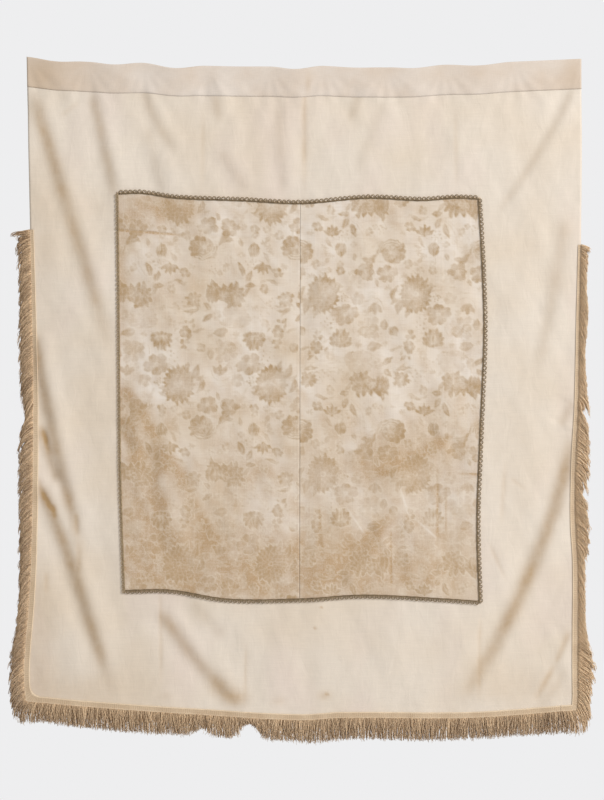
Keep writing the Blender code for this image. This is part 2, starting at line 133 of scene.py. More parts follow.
# Outlines and the braid's widths: upright ones give x at a height z, level ones z at a place x
left_edge = curve(
    (40, -826), (-480, -814), (-960, -806), (-1440, -811), (-1610, -820), (-1780, -833),
    (-1880, -829),
)
right_edge = curve(
    (40, 826), (-340, 825), (-660, 821), (-990, 816), (-1200, 806), (-1340, 806), (-1480, 815),
    (-1800, 814), (-1900, 816),
)
panel_left = curve((-368, -557), (-750, -553), (-1200, -549), (-1560, -537))
panel_right = curve(
    (-383, 524), (-600, 536), (-790, 541), (-1117, 528), (-1350, 520), (-1590, 527),
)
panel_seam = curve((-390, -12), (-1580, -14))
panel_top = curve(
    (-558, -368), (-480, -366), (-380, -380), (-180, -388), (-5, -396), (190, -380), (350, -387),
    (450, -380), (524, -383),
)
panel_bottom = curve(
    (-538, -1558), (-400, -1557), (-220, -1584), (-10, -1583), (180, -1572), (400, -1582),
    (526, -1591),
)
foot = curve(
    (-830, -1880), (-650, -1898), (-320, -1921), (-10, -1938), (110, -1931), (490, -1931),
    (780, -1910), (820, -1902),
)
left_braid_width = curve((-480, 11), (-800, 14), (-1200, 17), (-1900, 18))
right_braid_width = curve((-525, 9), (-800, 12), (-1150, 14), (-1550, 18), (-1900, 18))

# The main folds. Each runs through three places; the cloth dips on its left and rises on its
# right by half its height, within its width on either side. Rows end in width and height.
FOLDS = charted(
    (-810, -60, -720, -360, -560, -880, 29, 8.5), (-632, -60, -600, -208, -552, -420, 24, 7),
    (-479, -50, -440, -155, -370, -260, 22, 5), (-472, -150, -440, -290, -415, -380, 24, 3.8),
    (-284, -10, -268, -77, -250, -170, 20, 5), (-256, -235, -205, -315, -165, -370, 24, 3.4),
    (-75, -100, -70, -240, -62, -390, 22, 3.5), (175, -30, 158, -90, 132, -170, 22, 4.5),
    (232, -80, 200, -205, 142, -325, 26, 3), (812, -30, 714, -225, 545, -470, 18, 4.4),
    (780, -430, 742, -656, 685, -940, 28, 4.8), (800, -985, 780, -1030, 760, -1070, 20, 5),
    (806, -1060, 676, -1490, 450, -1905, 30, 11), (-806, -770, -757, -1030, -640, -1520, 26, 13),
    (-796, -1050, -756, -1160, -728, -1240, 22, 7),
    (-796, -1220, -694, -1470, -565, -1880, 28, 13),
    (-430, -1600, -333, -1743, -170, -1915, 28, 7.8),
    (-340, -1580, -288, -1636, -235, -1700, 28, 4), (790, -1650, 760, -1730, 730, -1800, 20, 3),
    (782, -1770, 740, -1850, 680, -1910, 20, 3.4), (425, -1095, 333, -1152, 230, -1205, 30, 7),
    (235, -1375, 166, -1443, 95, -1510, 30, 6), (-545, -1030, -520, -1085, -495, -1150, 26, 6),
    (-432, -1080, -424, -1290, -385, -1490, 28, 6),
)
FOLD_STEPS = 10
FOLD_RUN_IN = 0.16
FOLD_RUN_OUT = 0.22
FOLD_REACH = 5.0

# Small creases of storage and wear: a soft trough from one place to another, its width and depth
CREASES = charted(
    (-428, -1500, -424, -1850, 6, 0.8), (-172, -1690, -176, -1910, 5, 0.7),
    (523, -1600, 520, -1900, 6, 0.8), (45, -1370, 46, -1435, 5, 0.6),
    (398, -1220, 400, -1360, 5, 0.7), (258, -1460, 260, -1550, 5, 0.6),
    (-600, -476, -350, -496, 3.2, 1.4), (-430, -490, -100, -508, 5, 0.6),
    (792, -1665, 742, -1778, 8, 1.4), (748, -1765, 682, -1888, 8, 1.4),
    (600, -1150, 585, -1370, 7, 0.6), (610, -1215, 665, -1258, 6, 0.6),
    (545, -1400, 604, -1530, 6, 0.7), (-660, -90, -735, -150, 7, 0.5), (2, -5, 0, -380, 7, 0.8),
    (450, -110, 452, -370, 7, 0.5), (-300, -110, -302, -370, 7, 0.5),
    (-784, -1050, -755, -1155, 8, 1.8), (-770, -1070, -764, -1125, 7, 1.2),
    (-790, -1210, -781, -1265, 7, 1.2), (-786, -1245, -742, -1325, 8, 1.8),
    (-745, -1290, -738, -1345, 7, 1.2), (-677, -1310, -673, -1395, 7, 1.2),
    (-766, -1490, -765, -1570, 7, 0.8), (-671, -1400, -666, -1520, 8, 1),
)
LINE_RUN_OUT = 0.3

# Brown bands along the damask's folds and creases, and pale lines, which end in their strength
FOLD_BANDS = charted(
    (-560, -920, -450, -1070, 22, 450), (-470, -1030, -400, -1220, 20, 420),
    (-545, -990, -470, -1220, 22, 420), (-420, -1130, -310, -1300, 18, 320),
    (-340, -1250, -255, -1460, 20, 300), (-450, -1240, -395, -1450, 16, 360),
    (-420, -1380, -325, -1600, 24, 420), (460, -1080, 310, -1170, 8, 600),
    (370, -1135, 160, -1230, 18, 400), (280, -1310, 120, -1465, 20, 400),
    (180, -1410, -10, -1570, 24, 340), (396, -1160, 397, -1450, 4, 400),
    (422, -1220, 421, -1410, 3.5, 300), (258, -1340, 259, -1560, 3, 300),
    (46, -1290, 55, -1470, 3, 350), (450, -1205, 550, -1207, 3, 450),
    (-640, -474, -350, -497, 3.4, 850), (280, -1230, 318, -1350, 3, -280),
    (310, -1320, 420, -1420, 3.5, -280), (110, -1280, 190, -1400, 3, -220),
    (-150, -900, -60, -960, 3, -220),
)

# The slow, shallow unevenness of the whole cloth
RIPPLE_COUNT = 22
RIPPLE_HEIGHT = 0.0006
RIPPLE_LONGEST = 0.34
RIPPLE_SHORTEST = 0.035
RIPPLE_STEEPEST = 0.8
RIPPLE_BEND = 0.25
RIPPLE_SEED = 11
PIN_WRINKLES = 15
PIN_WRINKLE_HEIGHT = 0.0007
PIN_WRINKLE_REACH = 0.11
PIN_WRINKLE_SPREAD = 1.6
PIN_WRINKLE_TURN = 2.1

# The fringe: how far its tips reach outward, and how far they drop, at places along each edge.
# Places are heights down the sides and x along the foot; at the foot the drop is the length.
left_reach = reach(
    (-480, 42, 12), (-560, 33, 42), (-900, 34, 44), (-960, 26, 50), (-1000, 21, 52),
    (-1045, 34, 44), (-1200, 37, 42), (-1400, 32, 46), (-1600, 30, 46), (-1680, 38, 44),
    (-1800, 37, 46), (-1880, 34, 52),
)
right_reach = reach(
    (-525, 22, 10), (-600, 16, 48), (-700, 21, 48), (-790, 14, 52), (-930, 22, 48), (-975, 27, 44),
    (-992, 6, 30), (-1020, 24, 44), (-1080, 32, 42), (-1190, 33, 42), (-1228, 19, 44),
    (-1270, 34, 42), (-1390, 33, 42), (-1420, 21, 48), (-1590, 19, 50), (-1680, 30, 46),
    (-1740, 44, 40), (-1800, 37, 44), (-1900, 30, 56),
)
foot_reach = reach(
    (-820, -12, 50), (-780, -4, 54), (-650, 0, 61), (-350, 2, 60), (-300, 2, 42), (-268, 2, 60),
    (-210, 0, 57), (-180, 0, 28), (-158, 0, 18), (-138, 0, 36), (-118, 0, 56), (-20, 0, 63),
    (60, 0, 66), (160, -2, 61), (300, -2, 64), (590, 0, 60), (760, 4, 62), (815, 12, 58),
)

# Where the cloth has yellowed or is stained: a soft patch's place, reach across and down, strength
GROUND_STAINS = charted(
    (51, -1601, 4, 3, 750), (33, -1663, 4, 4, 750), (68, -1859, 5, 4, 800),
    (60, -1865, 20, 13, 300), (-76, -1880, 20, 12, 180), (-205, -1872, 36, 22, 460),
    (-235, -1845, 50, 30, 200), (-260, -1830, 30, 30, 200), (-413, -1866, 20, 12, 140),
    (-790, -1700, 70, 260, 220), (-700, -1850, 200, 60, 200), (700, -1850, 200, 60, 140),
    (-780, -600, 60, 400, 120), (0, -200, 12, 160, 100),
)
HEADING_STAINS = charted(
    (-780, -20, 90, 90, 550), (-620, -30, 60, 80, 180), (12, -45, 10, 30, 250),
    (800, 0, 40, 80, 200), (560, -40, 340, 90, 100),
)
DAMASK_STAINS = charted(
    (-490, -420, 90, 60, 700), (-410, -415, 25, 40, 450), (-340, -428, 60, 35, 600),
    (-540, -620, 30, 200, 400), (-430, -640, 120, 100, 220), (-450, -1350, 120, 300, 420),
    (-200, -1480, 260, 110, 400), (250, -1480, 300, 120, 380), (300, -1150, 240, 90, 420),
    (515, -1057, 16, 30, 600), (0, -1120, 600, 160, 150), (-20, -1430, 700, 230, 260),
    (-180, -1200, 120, 40, 250), (-437, -971, 28, 28, -400), (-353, -1123, 50, 42, -400),
    (-377, -1342, 22, 30, -450), (-422, -1230, 16, 42, -350), (-24, -1366, 35, 22, -300),
    (-60, -1512, 32, 22, -350), (18, -1040, 24, 70, -300), (122, -1134, 32, 36, -300),
    (276, -986, 26, 40, -300), (70, -1270, 20, 60, -250), (-520, -1250, 60, 300, 250),
    (-150, -1520, 500, 80, 200), (500, -410, 50, 40, 450), (230, -410, 60, 40, 300),
)

# Painted shade, with some dust, along the shaded slope of every fold and in the creases: a fold of the
# shaded height has the most, and a lower one less
SHADED_FOLD_HEIGHT = 0.0092
FOLD_SHADE_MOST = 0.54
FOLD_SHADE_SPREAD = 0.65
CREASE_SHADE = 260
FOLD_SHADE_UNEVEN = 0.22
FOLD_SHADE_RANGE = (0.5, 1.3)

# Clouds: how many waves, how they bend, and each use's longest wave, shortest wave and seed
CLOUD_WAVES = 14
CLOUD_BEND = 1.6
CLOUD_SWAY = 2.6
WEAVE_CLOUDS_ACROSS = (0.05, 0.014, 31)
WEAVE_CLOUDS_DOWN = (0.05, 0.014, 32)
WEAR_CLOUDS = (0.16, 0.012, 33)
DAMASK_SOIL_CLOUDS = (0.25, 0.03, 34)
FOLD_SHADE_CLOUDS = (0.3, 0.07, 35)


def pin_stretch(x):
    """The index of the pin to the left of each x, and the share of the way to the next."""
    x = np.clip(x, PIN_X[0], PIN_X[-1])
    k = np.clip(np.searchsorted(PIN_X, x) - 1, 0, len(PIN_X) - 2)
    return k, (x - PIN_X[k]) / (PIN_X[k + 1] - PIN_X[k])


def top_edge(x, sag_share=1.0):
    k, t = pin_stretch(x)
    sag = sag_share * PIN_SAG[k] * np.sin(np.pi * t) ** 2
    return PIN_Z[k] + (PIN_Z[k + 1] - PIN_Z[k]) * t - sag


def heading_seam(x):
    return top_edge(x, HEADING_SAG_SHARE) - HEADING_HEIGHT


def fold_path(places):
    """Places along a fold: a curve that passes through its three given places."""
    start, middle, end = np.reshape(places, (3, 2))
    pull = 2 * middle - (start + end) / 2
    t = np.linspace(0, 1, FOLD_STEPS + 1)[:, None]
    return start * (1 - t) ** 2 + pull * 2 * t * (1 - t) + end * t * t


def beside_path(path, x, z):
    """The signed distances from a path, plus on its +X side, and the shares of the way along."""
    nearest = np.full(x.shape, np.inf)
    side = np.ones(x.shape)
    share = np.zeros(x.shape)
    for k in range(len(path) - 1):
        run_x, run_z = path[k + 1] - path[k]
        away_x, away_z = x - path[k][0], z - path[k][1]
        t = np.clip((away_x * run_x + away_z * run_z) / (run_x**2 + run_z**2), 0, 1)
        distance = np.hypot(away_x - run_x * t, away_z - run_z * t)
        closer = distance < nearest
        nearest = np.where(closer, distance, nearest)
        side = np.where(closer, np.where(away_z * run_x - away_x * run_z >= 0.0, 1.0, -1.0), side)
        share = np.where(closer, (k + t) / (len(path) - 1), share)
    return nearest * side, share


def near_path(path, reach, x, z):
    low, high = path.min(axis=0) - reach, path.max(axis=0) + reach
    return (x > low[0]) & (x < high[0]) & (z > low[1]) & (z < high[1])


def near_folds(x, z):
    """Every fold's height, the places near it, how many widths they lie beside it, and its fading."""
    for *places, width, height in FOLDS:
        path = fold_path(places)
        near = near_path(path, width * FOLD_REACH, x, z)
        offset, t = beside_path(path, x[near], z[near])
        fade = smooth_step(t / FOLD_RUN_IN) * smooth_step((1 - t) / FOLD_RUN_OUT)
        yield height, near, offset / width, fade


def fold_relief(x, z):
    """What the folds add to the stand-off."""
    total = np.zeros(x.shape)
    for height, near, s, fade in near_folds(x, z):
        total[near] += fade * height / 2 * s * np.exp(0.5 * (1 - s * s))
    return total


def soft_lines(lines, x, z):
    """The sum of soft lines, each as deep as its row says along its middle."""
    total = np.zeros(x.shape)
    for *places, width, depth in lines:
        path = np.reshape(places, (2, 2))
        near = near_path(path, width * FOLD_REACH, x, z)
        offset, t = beside_path(path, x[near], z[near])
        fade = smooth_step(t / LINE_RUN_OUT) * smooth_step((1 - t) / LINE_RUN_OUT)
        total[near] += fade * depth * np.exp(-((offset / width) ** 2))
    return total


def ripple_relief(x, z):
    """Slow waves, mostly upright ones, that keep the cloth from lying dead flat."""
    draw = np.random.default_rng(RIPPLE_SEED)
    total = np.zeros(x.shape)
    for k in range(RIPPLE_COUNT):
        share = k / (RIPPLE_COUNT - 1)
        length = RIPPLE_LONGEST * (RIPPLE_SHORTEST / RIPPLE_LONGEST) ** share
        lean = draw.uniform(-RIPPLE_STEEPEST, RIPPLE_STEEPEST)
        phase, sway = draw.uniform(0.0, TURN, 2)
        bend = RIPPLE_BEND * length * np.sin(z / length + sway)
        along = (x + z * lean + bend) / length
        total += RIPPLE_HEIGHT * length / RIPPLE_LONGEST * np.sin(TURN * along + phase)
    return total


def pin_relief(x, z):
    """Small wrinkles that spread from every pin."""
    total = np.zeros(x.shape)
    for k, (pin_x, pin_z) in enumerate(zip(PIN_X, PIN_Z)):
        away, turn = np.hypot(x - pin_x, z - pin_z), np.arctan2(x - pin_x, pin_z - z)
        fade = np.exp(-((away / PIN_WRINKLE_REACH / PIN_WRINKLE_SPREAD) ** 2))
        fade = smooth_step(away / HEADING_HEIGHT) * fade
        total += PIN_WRINKLE_HEIGHT * fade * np.sin(PIN_WRINKLES * turn + PIN_WRINKLE_TURN * k)
    return total


def stand_off(x, z):
    """How far the face of the ground cloth stands off the wall."""
    below = top_edge(x) - z
    hung = smooth_step(below / STAND_OFF_RAMP)
    base = STAND_OFF_TOP + (STAND_OFF_HUNG - STAND_OFF_TOP) * hung
    k, t = pin_stretch(x)
    swag = PIN_SAG[k] * SAG_FORWARD_SHARE * np.sin(np.pi * t) ** 2
    forward = swag * np.exp(-((below / SAG_REACH) ** 2))
    crease = CENTRE_CREASE * np.exp(-((x / CENTRE_CREASE_WIDTH) ** 2)) * hung
    ease_in = smooth_step(below / HEADING_HEIGHT)
    fine = (fold_relief(x, z) - soft_lines(CREASES, x, z) + ripple_relief(x, z) + pin_relief(x, z)) * ease_in
    return np.maximum(STAND_OFF_LEAST, base + forward - crease + fine)


def add_mesh(name, places, faces, material, smooth=True):
    """A piece of the curtain made of places and faces, with its material."""
    mesh = bpy.data.meshes.new(name)
    mesh.from_pydata(np.asarray(places).tolist(), [], faces)
    mesh.materials.append(material)
    if smooth:
        mesh.shade_smooth()
    piece = bpy.data.objects.new(name, mesh)
    bpy.context.scene.collection.objects.link(piece)
    return piece


def add_field(piece, name, values):
    """A number at every point of a piece, for its material to read."""
    field = piece.data.attributes.new(name, "FLOAT", "POINT")
    field.data.foreach_set("value", np.ravel(values).astype(np.float32))


def grid_faces(rows, columns):
    """The faces of a grid of points that runs down and across, turned to the front."""
    corner = np.arange(rows * columns).reshape(rows, columns)
    ring = [corner[:-1, :-1], corner[1:, :-1], corner[1:, 1:], corner[:-1, 1:]]
    return np.stack(ring, axis=-1).reshape(-1, 4).tolist()


PLACE_ROUNDS = 4
MIDDLE_HEIGHT = -1.0
FUSE_DISTANCE = 0.000001


def spread(left, right, top, bottom, across, down):
    """The x and z of a grid of cells between four edges: two read at z, and two read at x."""
    share_x, share_z = np.meshgrid(np.linspace(0, 1, across + 1), np.linspace(0, 1, down + 1))
    z = np.full(share_x.shape, MIDDLE_HEIGHT)
    for _ in range(PLACE_ROUNDS):
        x = left(z) + (right(z) - left(z)) * share_x
        z = top(x) + (bottom(x) - top(x)) * share_z
    return x, z


def laid(x, z, lift):
    """Places that lie in front of the ground's face by a lift."""
    return np.stack([x, -stand_off(x, z) - lift, z], axis=-1)


def stain_field(stains, x, z):
    total = np.zeros(x.shape)
    for at_x, at_z, across, down, strength in stains:
        total += strength * np.exp(-(((x - at_x) / across) ** 2 + ((z - at_z) / down) ** 2))
    return total


def clouds(x, z, longest, shortest, seed):
    """Uneven clouds from about -1.5 to 1.5: bent waves of many lengths and directions."""
    draw = np.random.default_rng(seed)
    total = np.zeros(x.shape)
    for _ in range(CLOUD_WAVES):
        length = longest * (shortest / longest) ** draw.uniform()
        turn, phase, sway = draw.uniform(0.0, TURN, 3)
        along = (x * np.cos(turn) + z * np.sin(turn)) / length
        across = (z * np.cos(turn) - x * np.sin(turn)) / length
        total += np.sin(TURN * along + CLOUD_BEND * np.sin(CLOUD_SWAY * across + sway) + phase)
    return total / math.sqrt(CLOUD_WAVES)


def fold_shade_and_dust(x, z):
    """Painted shade, with some dust, in the creases and along the shaded slope of every fold."""
    total = soft_lines(CREASES, x, z) * CREASE_SHADE
    for height, near, s, fade in near_folds(x, z):
        most = FOLD_SHADE_MOST * min(1.0, (height / SHADED_FOLD_HEIGHT) ** 2)
        total[near] += fade * most * np.exp(-((s / FOLD_SHADE_SPREAD) ** 2))
    return total * np.clip(1 + FOLD_SHADE_UNEVEN * clouds(x, z, *FOLD_SHADE_CLOUDS), *FOLD_SHADE_RANGE)


# Materials

def linear(colour):
    """Red, green and blue from 0 to 255 as seen, as the shaders take them."""
    shares = [value / 255.0 for value in colour]
    return (*(s / 12.92 if s <= 0.04045 else ((s + 0.055) / 1.055) ** 2.4 for s in shares), 1.0)


def feed(node, inputs):
    """Sets a node's inputs to numbers, or links them to the sockets given."""
    for name, value in inputs.items():
        if isinstance(value, bpy.types.NodeSocket):
            node.id_data.links.new(value, node.inputs[name])
        else:
            node.inputs[name].default_value = value


def add_node(tree, kind, inputs, **settings):
    """The outputs of a new shader node."""
    made = tree.nodes.new("ShaderNode" + kind)
    for name, value in settings.items():
        setattr(made, name, value)
    feed(made, inputs)
    return made.outputs


def noise(tree, scale, detail=2, roughness=0.5, distortion=0.0):
    """Noise in the object's own space, with its own scale along x, y and z."""
    place = add_node(tree, "TexCoord", {})["Object"]
    scaled = add_node(tree, "Mapping", {"Vector": place, "Scale": scale})["Vector"]
    inputs = {"Scale": 1.0, "Detail": detail, "Roughness": roughness, "Distortion": distortion}
    return add_node(tree, "TexNoise", {"Vector": scaled, **inputs})["Fac"]


def field(tree, name):
    return add_node(tree, "Attribute", {}, attribute_name=name)["Fac"]


def ranged(value, low, high, to_low=0.0, to_high=1.0):
    """A value stretched from one range to another and kept inside it."""
    inputs = {"Value": value, "From Min": low, "From Max": high, "To Min": to_low, "To Max": to_high}
    return add_node(value.id_data, "MapRange", inputs)["Result"]


def swing(value, to_low, to_high):
    """Noise stretched from where most of it lies to a range of its own."""
    return ranged(value, 0.3, 0.7, to_low, to_high)


def plus(first, second):
    return add_node(first.id_data, "Math", {0: first, 1: second}, operation="ADD")[0]


def times(first, second):
    return add_node(first.id_data, "Math", {0: first, 1: second}, operation="MULTIPLY")[0]


def mixed(share, first, second, blend="MIX"):
    """One colour laid over another by a share. A plain colour is given as seen."""
    first, second = (linear(part) if isinstance(part, tuple) else part for part in (first, second))
    tree = (second if blend == "MULTIPLY" else share).id_data
    return add_node(tree, "Mix", {0: share, 6: first, 7: second}, data_type="RGBA", blend_type=blend)[2]


def shaded(colour, shade):
    return mixed(1.0, colour, shade, "MULTIPLY")


def new_material(name):
    material = bpy.data.materials.new(name)
    material.use_nodes = True
    return material, material.node_tree


def finished(material, colour, face, depth, strength, roughness, sheen, metallic=0.0):
    """The material with its shader set. face is what its bump is made of, and depth how deep."""
    inputs = {"Height": face, "Distance": depth, "Strength": strength}
    feed(material.node_tree.nodes["Principled BSDF"], {
        "Base Color": colour,
        "Normal": add_node(face.id_data, "Bump", inputs)["Normal"],
        "Roughness": roughness,
        "Specular IOR Level": 0.3,
        "Sheen Weight": sheen,
        "Sheen Roughness": 0.5,
        "Metallic": metallic,
    })
    return material


IVORY = (230, 217, 201)
IVORY_WARM = (227, 211, 191)
IVORY_PINK = (228, 210, 198)
# The colour of the stains, and of the painted shade along the folds and creases
SOIL_AND_SHADE = (190, 156, 112)
LINEN = (228, 215, 202)
LINEN_WARM = (220, 203, 186)
DAMASK_LIGHT = (234, 222, 209)
DAMASK_WARM = (224, 206, 184)
DAMASK_FIGURE = (180, 150, 112)
# The damask's colour of dirt and stains, and of the painted shade along its folds and creases
DAMASK_SOILED_AND_SHADED = (182, 146, 101)
DAMASK_LINE = (240, 228, 210)
LACE_DARK = (100, 82, 58)
LACE_LIGHT = (196, 172, 136)
FRINGE_DARK = (138, 106, 74)
FRINGE_LIGHT = (240, 208, 168)
BRAID_DARK = (194, 166, 134)
BRAID_LIGHT = (234, 211, 180)
WRINKLES_TO_RIBS = 4.5
# How far the damask's dirt, stains and painted shade go towards their colour
SOIL_AND_SHADE_SHARE = 0.82
LINE_SHARE = 0.75


def ground_material():
    material, tree = new_material("ground_silk")
    ribs = noise(tree, (30, 30, 900))
    slubs = noise(tree, (16, 16, 120), 3)
    patches = noise(tree, (2.6, 2.6, 3.4), 3)
    tint = noise(tree, (4.1, 4.1, 2.3))
    colour = mixed(ranged(patches, 0.42, 0.66), IVORY, IVORY_WARM)
    colour = mixed(ranged(tint, 0.5, 0.75, 0, 0.6), colour, IVORY_PINK)
    colour = shaded(colour, plus(swing(ribs, 0.975, 1.02), swing(slubs, -0.012, 0.012)))
    mottle = swing(noise(tree, (60, 60, 60), 3), 0.85, 1.12)
    # Mixes in the stains and the painted shade along the folds and creases
    colour = mixed(times(field(tree, "soil_and_shade"), mottle), colour, SOIL_AND_SHADE)
    wrinkles = noise(tree, (40, 40, 16), 3, distortion=0.7)
    return finished(material, colour, plus(times(wrinkles, WRINKLES_TO_RIBS), ribs), 0.0005, 0.5, 0.58, 0.15)


def heading_material():
    material, tree = new_material("heading_linen")
    weave = plus(noise(tree, (60, 60, 900)), noise(tree, (900, 60, 60)))
    colour = mixed(ranged(noise(tree, (7, 7, 9), 3), 0.4, 0.7), LINEN, LINEN_WARM)
    colour = shaded(colour, ranged(weave, 0.7, 1.3, 0.95, 1.03))
    colour = mixed(field(tree, "soil_and_shade"), colour, SOIL_AND_SHADE)
    return finished(material, colour, weave, 0.0004, 0.5, 0.85, 0.1)


def damask_material():
    material, tree = new_material("damask")
    warp = noise(tree, (420, 20, 5))
    weft = noise(tree, (30, 20, 620))
    grain = noise(tree, (260, 60, 260))
    streaks = noise(tree, (24, 20, 230), 3, 0.6, 0.8)
    flecks = noise(tree, (190, 20, 60), 3, 0.6, 0.8)
    # The damask's dirt and stains, with the painted shade along its folds and creases
    soil_and_shade = times(field(tree, "soil_and_shade"), ranged(grain, 0.25, 0.75, 0.75, 1.2))
    figure = times(field(tree, "figure"), ranged(grain, 0.25, 0.75, 0.82, 1.1))
    colour = mixed(ranged(noise(tree, (5, 5, 5), 3), 0.35, 0.7), DAMASK_LIGHT, DAMASK_WARM)
    colour = mixed(times(soil_and_shade, SOIL_AND_SHADE_SHARE), colour, DAMASK_SOILED_AND_SHADED)
    colour = mixed(figure, colour, DAMASK_FIGURE)
    colour = mixed(times(field(tree, "line"), LINE_SHARE), colour, DAMASK_LINE)
    colour = shaded(colour, swing(warp, 0.965, 1.02))
    worn = plus(*(ranged(wear, 0.54, 0.72, 0, 0.16) for wear in (streaks, flecks)))
    colour = mixed(worn, colour, DAMASK_LINE)
    colour = mixed(ranged(streaks, 0.28, 0.46, 0.16, 0), colour, DAMASK_FIGURE)
    face = plus(times(figure, 0.5), times(weft, 0.6))
    return finished(material, colour, face, 0.0005, 0.5, ranged(figure, 0, 1, 0.45, 0.65), 0.1)


def lace_material():
    material, tree = new_material("metal_lace")
    thread = noise(tree, (700, 700, 700))
    tarnish = noise(tree, (45, 45, 45), 3)
    share = times(ranged(thread, 0.35, 0.7), swing(tarnish, 0.3, 0.7))
    colour = mixed(plus(share, field(tree, "tone")), LACE_DARK, LACE_LIGHT)
    return finished(material, colour, thread, 0.0006, 0.7, swing(tarnish, 0.38, 0.6), 0, 0.3)


def braid_material():
    material, tree = new_material("braid_silk")
    thread = noise(tree, (420, 420, 420))
    tone = plus(field(tree, "tone"), swing(noise(tree, (26, 26, 26), 3), -0.15, 0.15))
    colour = shaded(mixed(tone, BRAID_DARK, BRAID_LIGHT), swing(thread, 0.88, 1.06))
    return finished(material, colour, thread, 0.0006, 0.6, 0.7, 0.2)


def fringe_material():
    material, tree = new_material("fringe_silk")
    thread = noise(tree, (260, 260, 260), 3)
    tone = plus(field(tree, "tone"), swing(thread, -0.28, 0.28))
    return finished(material, mixed(tone, FRINGE_DARK, FRINGE_LIGHT), thread, 0.0004, 0.5, 0.6, 0.25)


# The ground and the heading

GROUND_CELLS = (270, 308)
HEADING_CELLS = (330, 20)
HEM_FALL = 0.008
HEM_SUNK = 0.85


def add_cloth(name, x, z, lift, thickness, material, fields):
    """One layer of cloth with its edges turned back by its thickness."""
    turned_back = np.pad(np.zeros(x.shape), 1, constant_values=thickness)
    x, z, lift = (np.pad(part, 1, mode="edge") for part in (x, z, lift + np.zeros(x.shape)))
    places = laid(x, z, lift - turned_back)
    piece = add_mesh(name, places.reshape(-1, 3), grid_faces(*x.shape), material)
    for key, values in fields.items():
        add_field(piece, key, np.pad(values, 1, mode="edge"))
    mesh = bmesh.new()
    mesh.from_mesh(piece.data)
    bmesh.ops.remove_doubles(mesh, verts=mesh.verts, dist=FUSE_DISTANCE)
    mesh.to_mesh(piece.data)
    mesh.free()
    return piece


def add_ground():
    x, z = spread(left_edge, right_edge, lambda x: heading_seam(x) + HEADING_LAP, foot, *GROUND_CELLS)
    # Stains, and the painted shade along the folds and creases
    fields = {"soil_and_shade": stain_field(GROUND_STAINS, x, z) + fold_shade_and_dust(x, z)}
    return add_cloth("ground_cloth", x, z, 0.0, CLOTH_THICK, ground_material(), fields)


def add_heading():
    x, z = spread(left_edge, right_edge, top_edge, heading_seam, *HEADING_CELLS)
    sewn_down = 1 - smooth_step((z - heading_seam(x)) / HEM_FALL)
    lift = LAYER_GAP + CLOTH_THICK * (1 - HEM_SUNK * sewn_down)
    thickness = CLOTH_THICK * (1 - HEM_SUNK)
    fields = {"soil_and_shade": stain_field(HEADING_STAINS, x, z)}
    return add_cloth("heading_cloth", x, z, lift, thickness, heading_material(), fields)


# The damask's design: one repeat, drawn in whole millimetres, x to the right and y down

REPEAT_WIDTH = 275
REPEAT_HEIGHT = 533
MILLIMETRE = 0.001
PAINT_EDGE = 2.0
RIM_WIDTH = 1.2
VEIN_WIDTH = 0.8
STEM_WIDTH = 2.2
STEM_STEP = 1.5

FIGURE = np.zeros((REPEAT_HEIGHT, REPEAT_WIDTH))
LINE = np.zeros((REPEAT_HEIGHT, REPEAT_WIDTH))


def paint(x, y, reach, shape, tone, rim):
    """Lays one shape over what is on the repeat. shape(u, v) gives how deep inside it each
    place lies and how full its tone is there, with u and v from its own origin at (x, y)."""
    columns = np.arange(math.floor(x - reach), math.ceil(x + reach))
    rows = np.arange(math.floor(y - reach), math.ceil(y + reach))
    depth, full = shape(*np.meshgrid(columns + 0.5 - x, rows + 0.5 - y))
    at = np.ix_(rows % REPEAT_HEIGHT, columns % REPEAT_WIDTH)
    cover = np.clip(depth / PAINT_EDGE + 0.5, 0, 1)
    FIGURE[at] += (tone * full - FIGURE[at]) * cover
    LINE[at] = np.maximum(LINE[at] * (1 - cover), rim * np.exp(-((depth / RIM_WIDTH) ** 2)))


def pointing(turn):
    """What one step that way adds to x and y: turn is in degrees from the right towards down."""
    return math.cos(math.radians(turn)), math.sin(math.radians(turn))


def petal(x, y, length, width, turn, tone, blunt=0.6, full=1.3, rim=0.5, curve=0.0):
    """A petal from its root. blunt below 1 rounds its ends, full above 1 moves its widest
    place towards the tip, and curve bends it to its right by that share of its length."""
    ahead, aside = pointing(turn)

    def shape(u, v):
        along = u * ahead + v * aside
        t = np.clip(along / length, 0, 1)
        half = 0.5 * width * np.sin(np.pi * t**full) ** blunt
        past = np.maximum(0.0, np.maximum(-along, along - length))
        off = v * ahead - u * aside - curve * length * 4 * t * (1 - t)
        return half - np.abs(off) - past, 0.72 + 0.36 * t

    paint(x, y, length * (1 + abs(curve)) + width / 2 + RIM_WIDTH, shape, tone, rim)


def leaf(x, y, length, width, turn, tone, curve=0.0):
    """A pointed leaf about its middle, with a light vein."""
    ahead, aside = pointing(turn)
    root_x, root_y = x - ahead * length / 2, y - aside * length / 2
    petal(root_x, root_y, length, width, turn, tone, blunt=0.9, full=0.85, rim=0.6, curve=curve)
    petal(root_x, root_y, length * 0.8, VEIN_WIDTH, turn, tone * 0.6, rim=0.35, curve=curve)


def disc(x, y, radius, tone, rim=0.4):
    paint(x, y, radius + 2 * RIM_WIDTH, lambda u, v: (radius - np.hypot(u, v), 1.0), tone, rim)


def arc(x, y, radius, start, end, width, tone, rim=0.5):
    """A band along a ring from one angle to another, in degrees from the right towards down."""
    def shape(u, v):
        inside = (np.degrees(np.arctan2(v, u)) - start) % 360.0 <= end - start
        return np.where(inside, width / 2 - np.abs(np.hypot(u, v) - radius), -2 * width), 1.0

    paint(x, y, radius + width, shape, tone, rim)


def stem(x0, y0, x1, y1, bend, tone):
    """A thin curved stalk. bend is how far its middle lies off the straight run."""
    run_x, run_y = x1 - x0, y1 - y0
    length = math.hypot(run_x, run_y)
    for k in range(int(length / STEM_STEP) + 1):
        t = k * STEM_STEP / length
        off = bend * 4 * t * (1 - t) / length
        disc(x0 + run_x * t - run_y * off, y0 + run_y * t + run_x * off, STEM_WIDTH / 2, tone, 0.15)


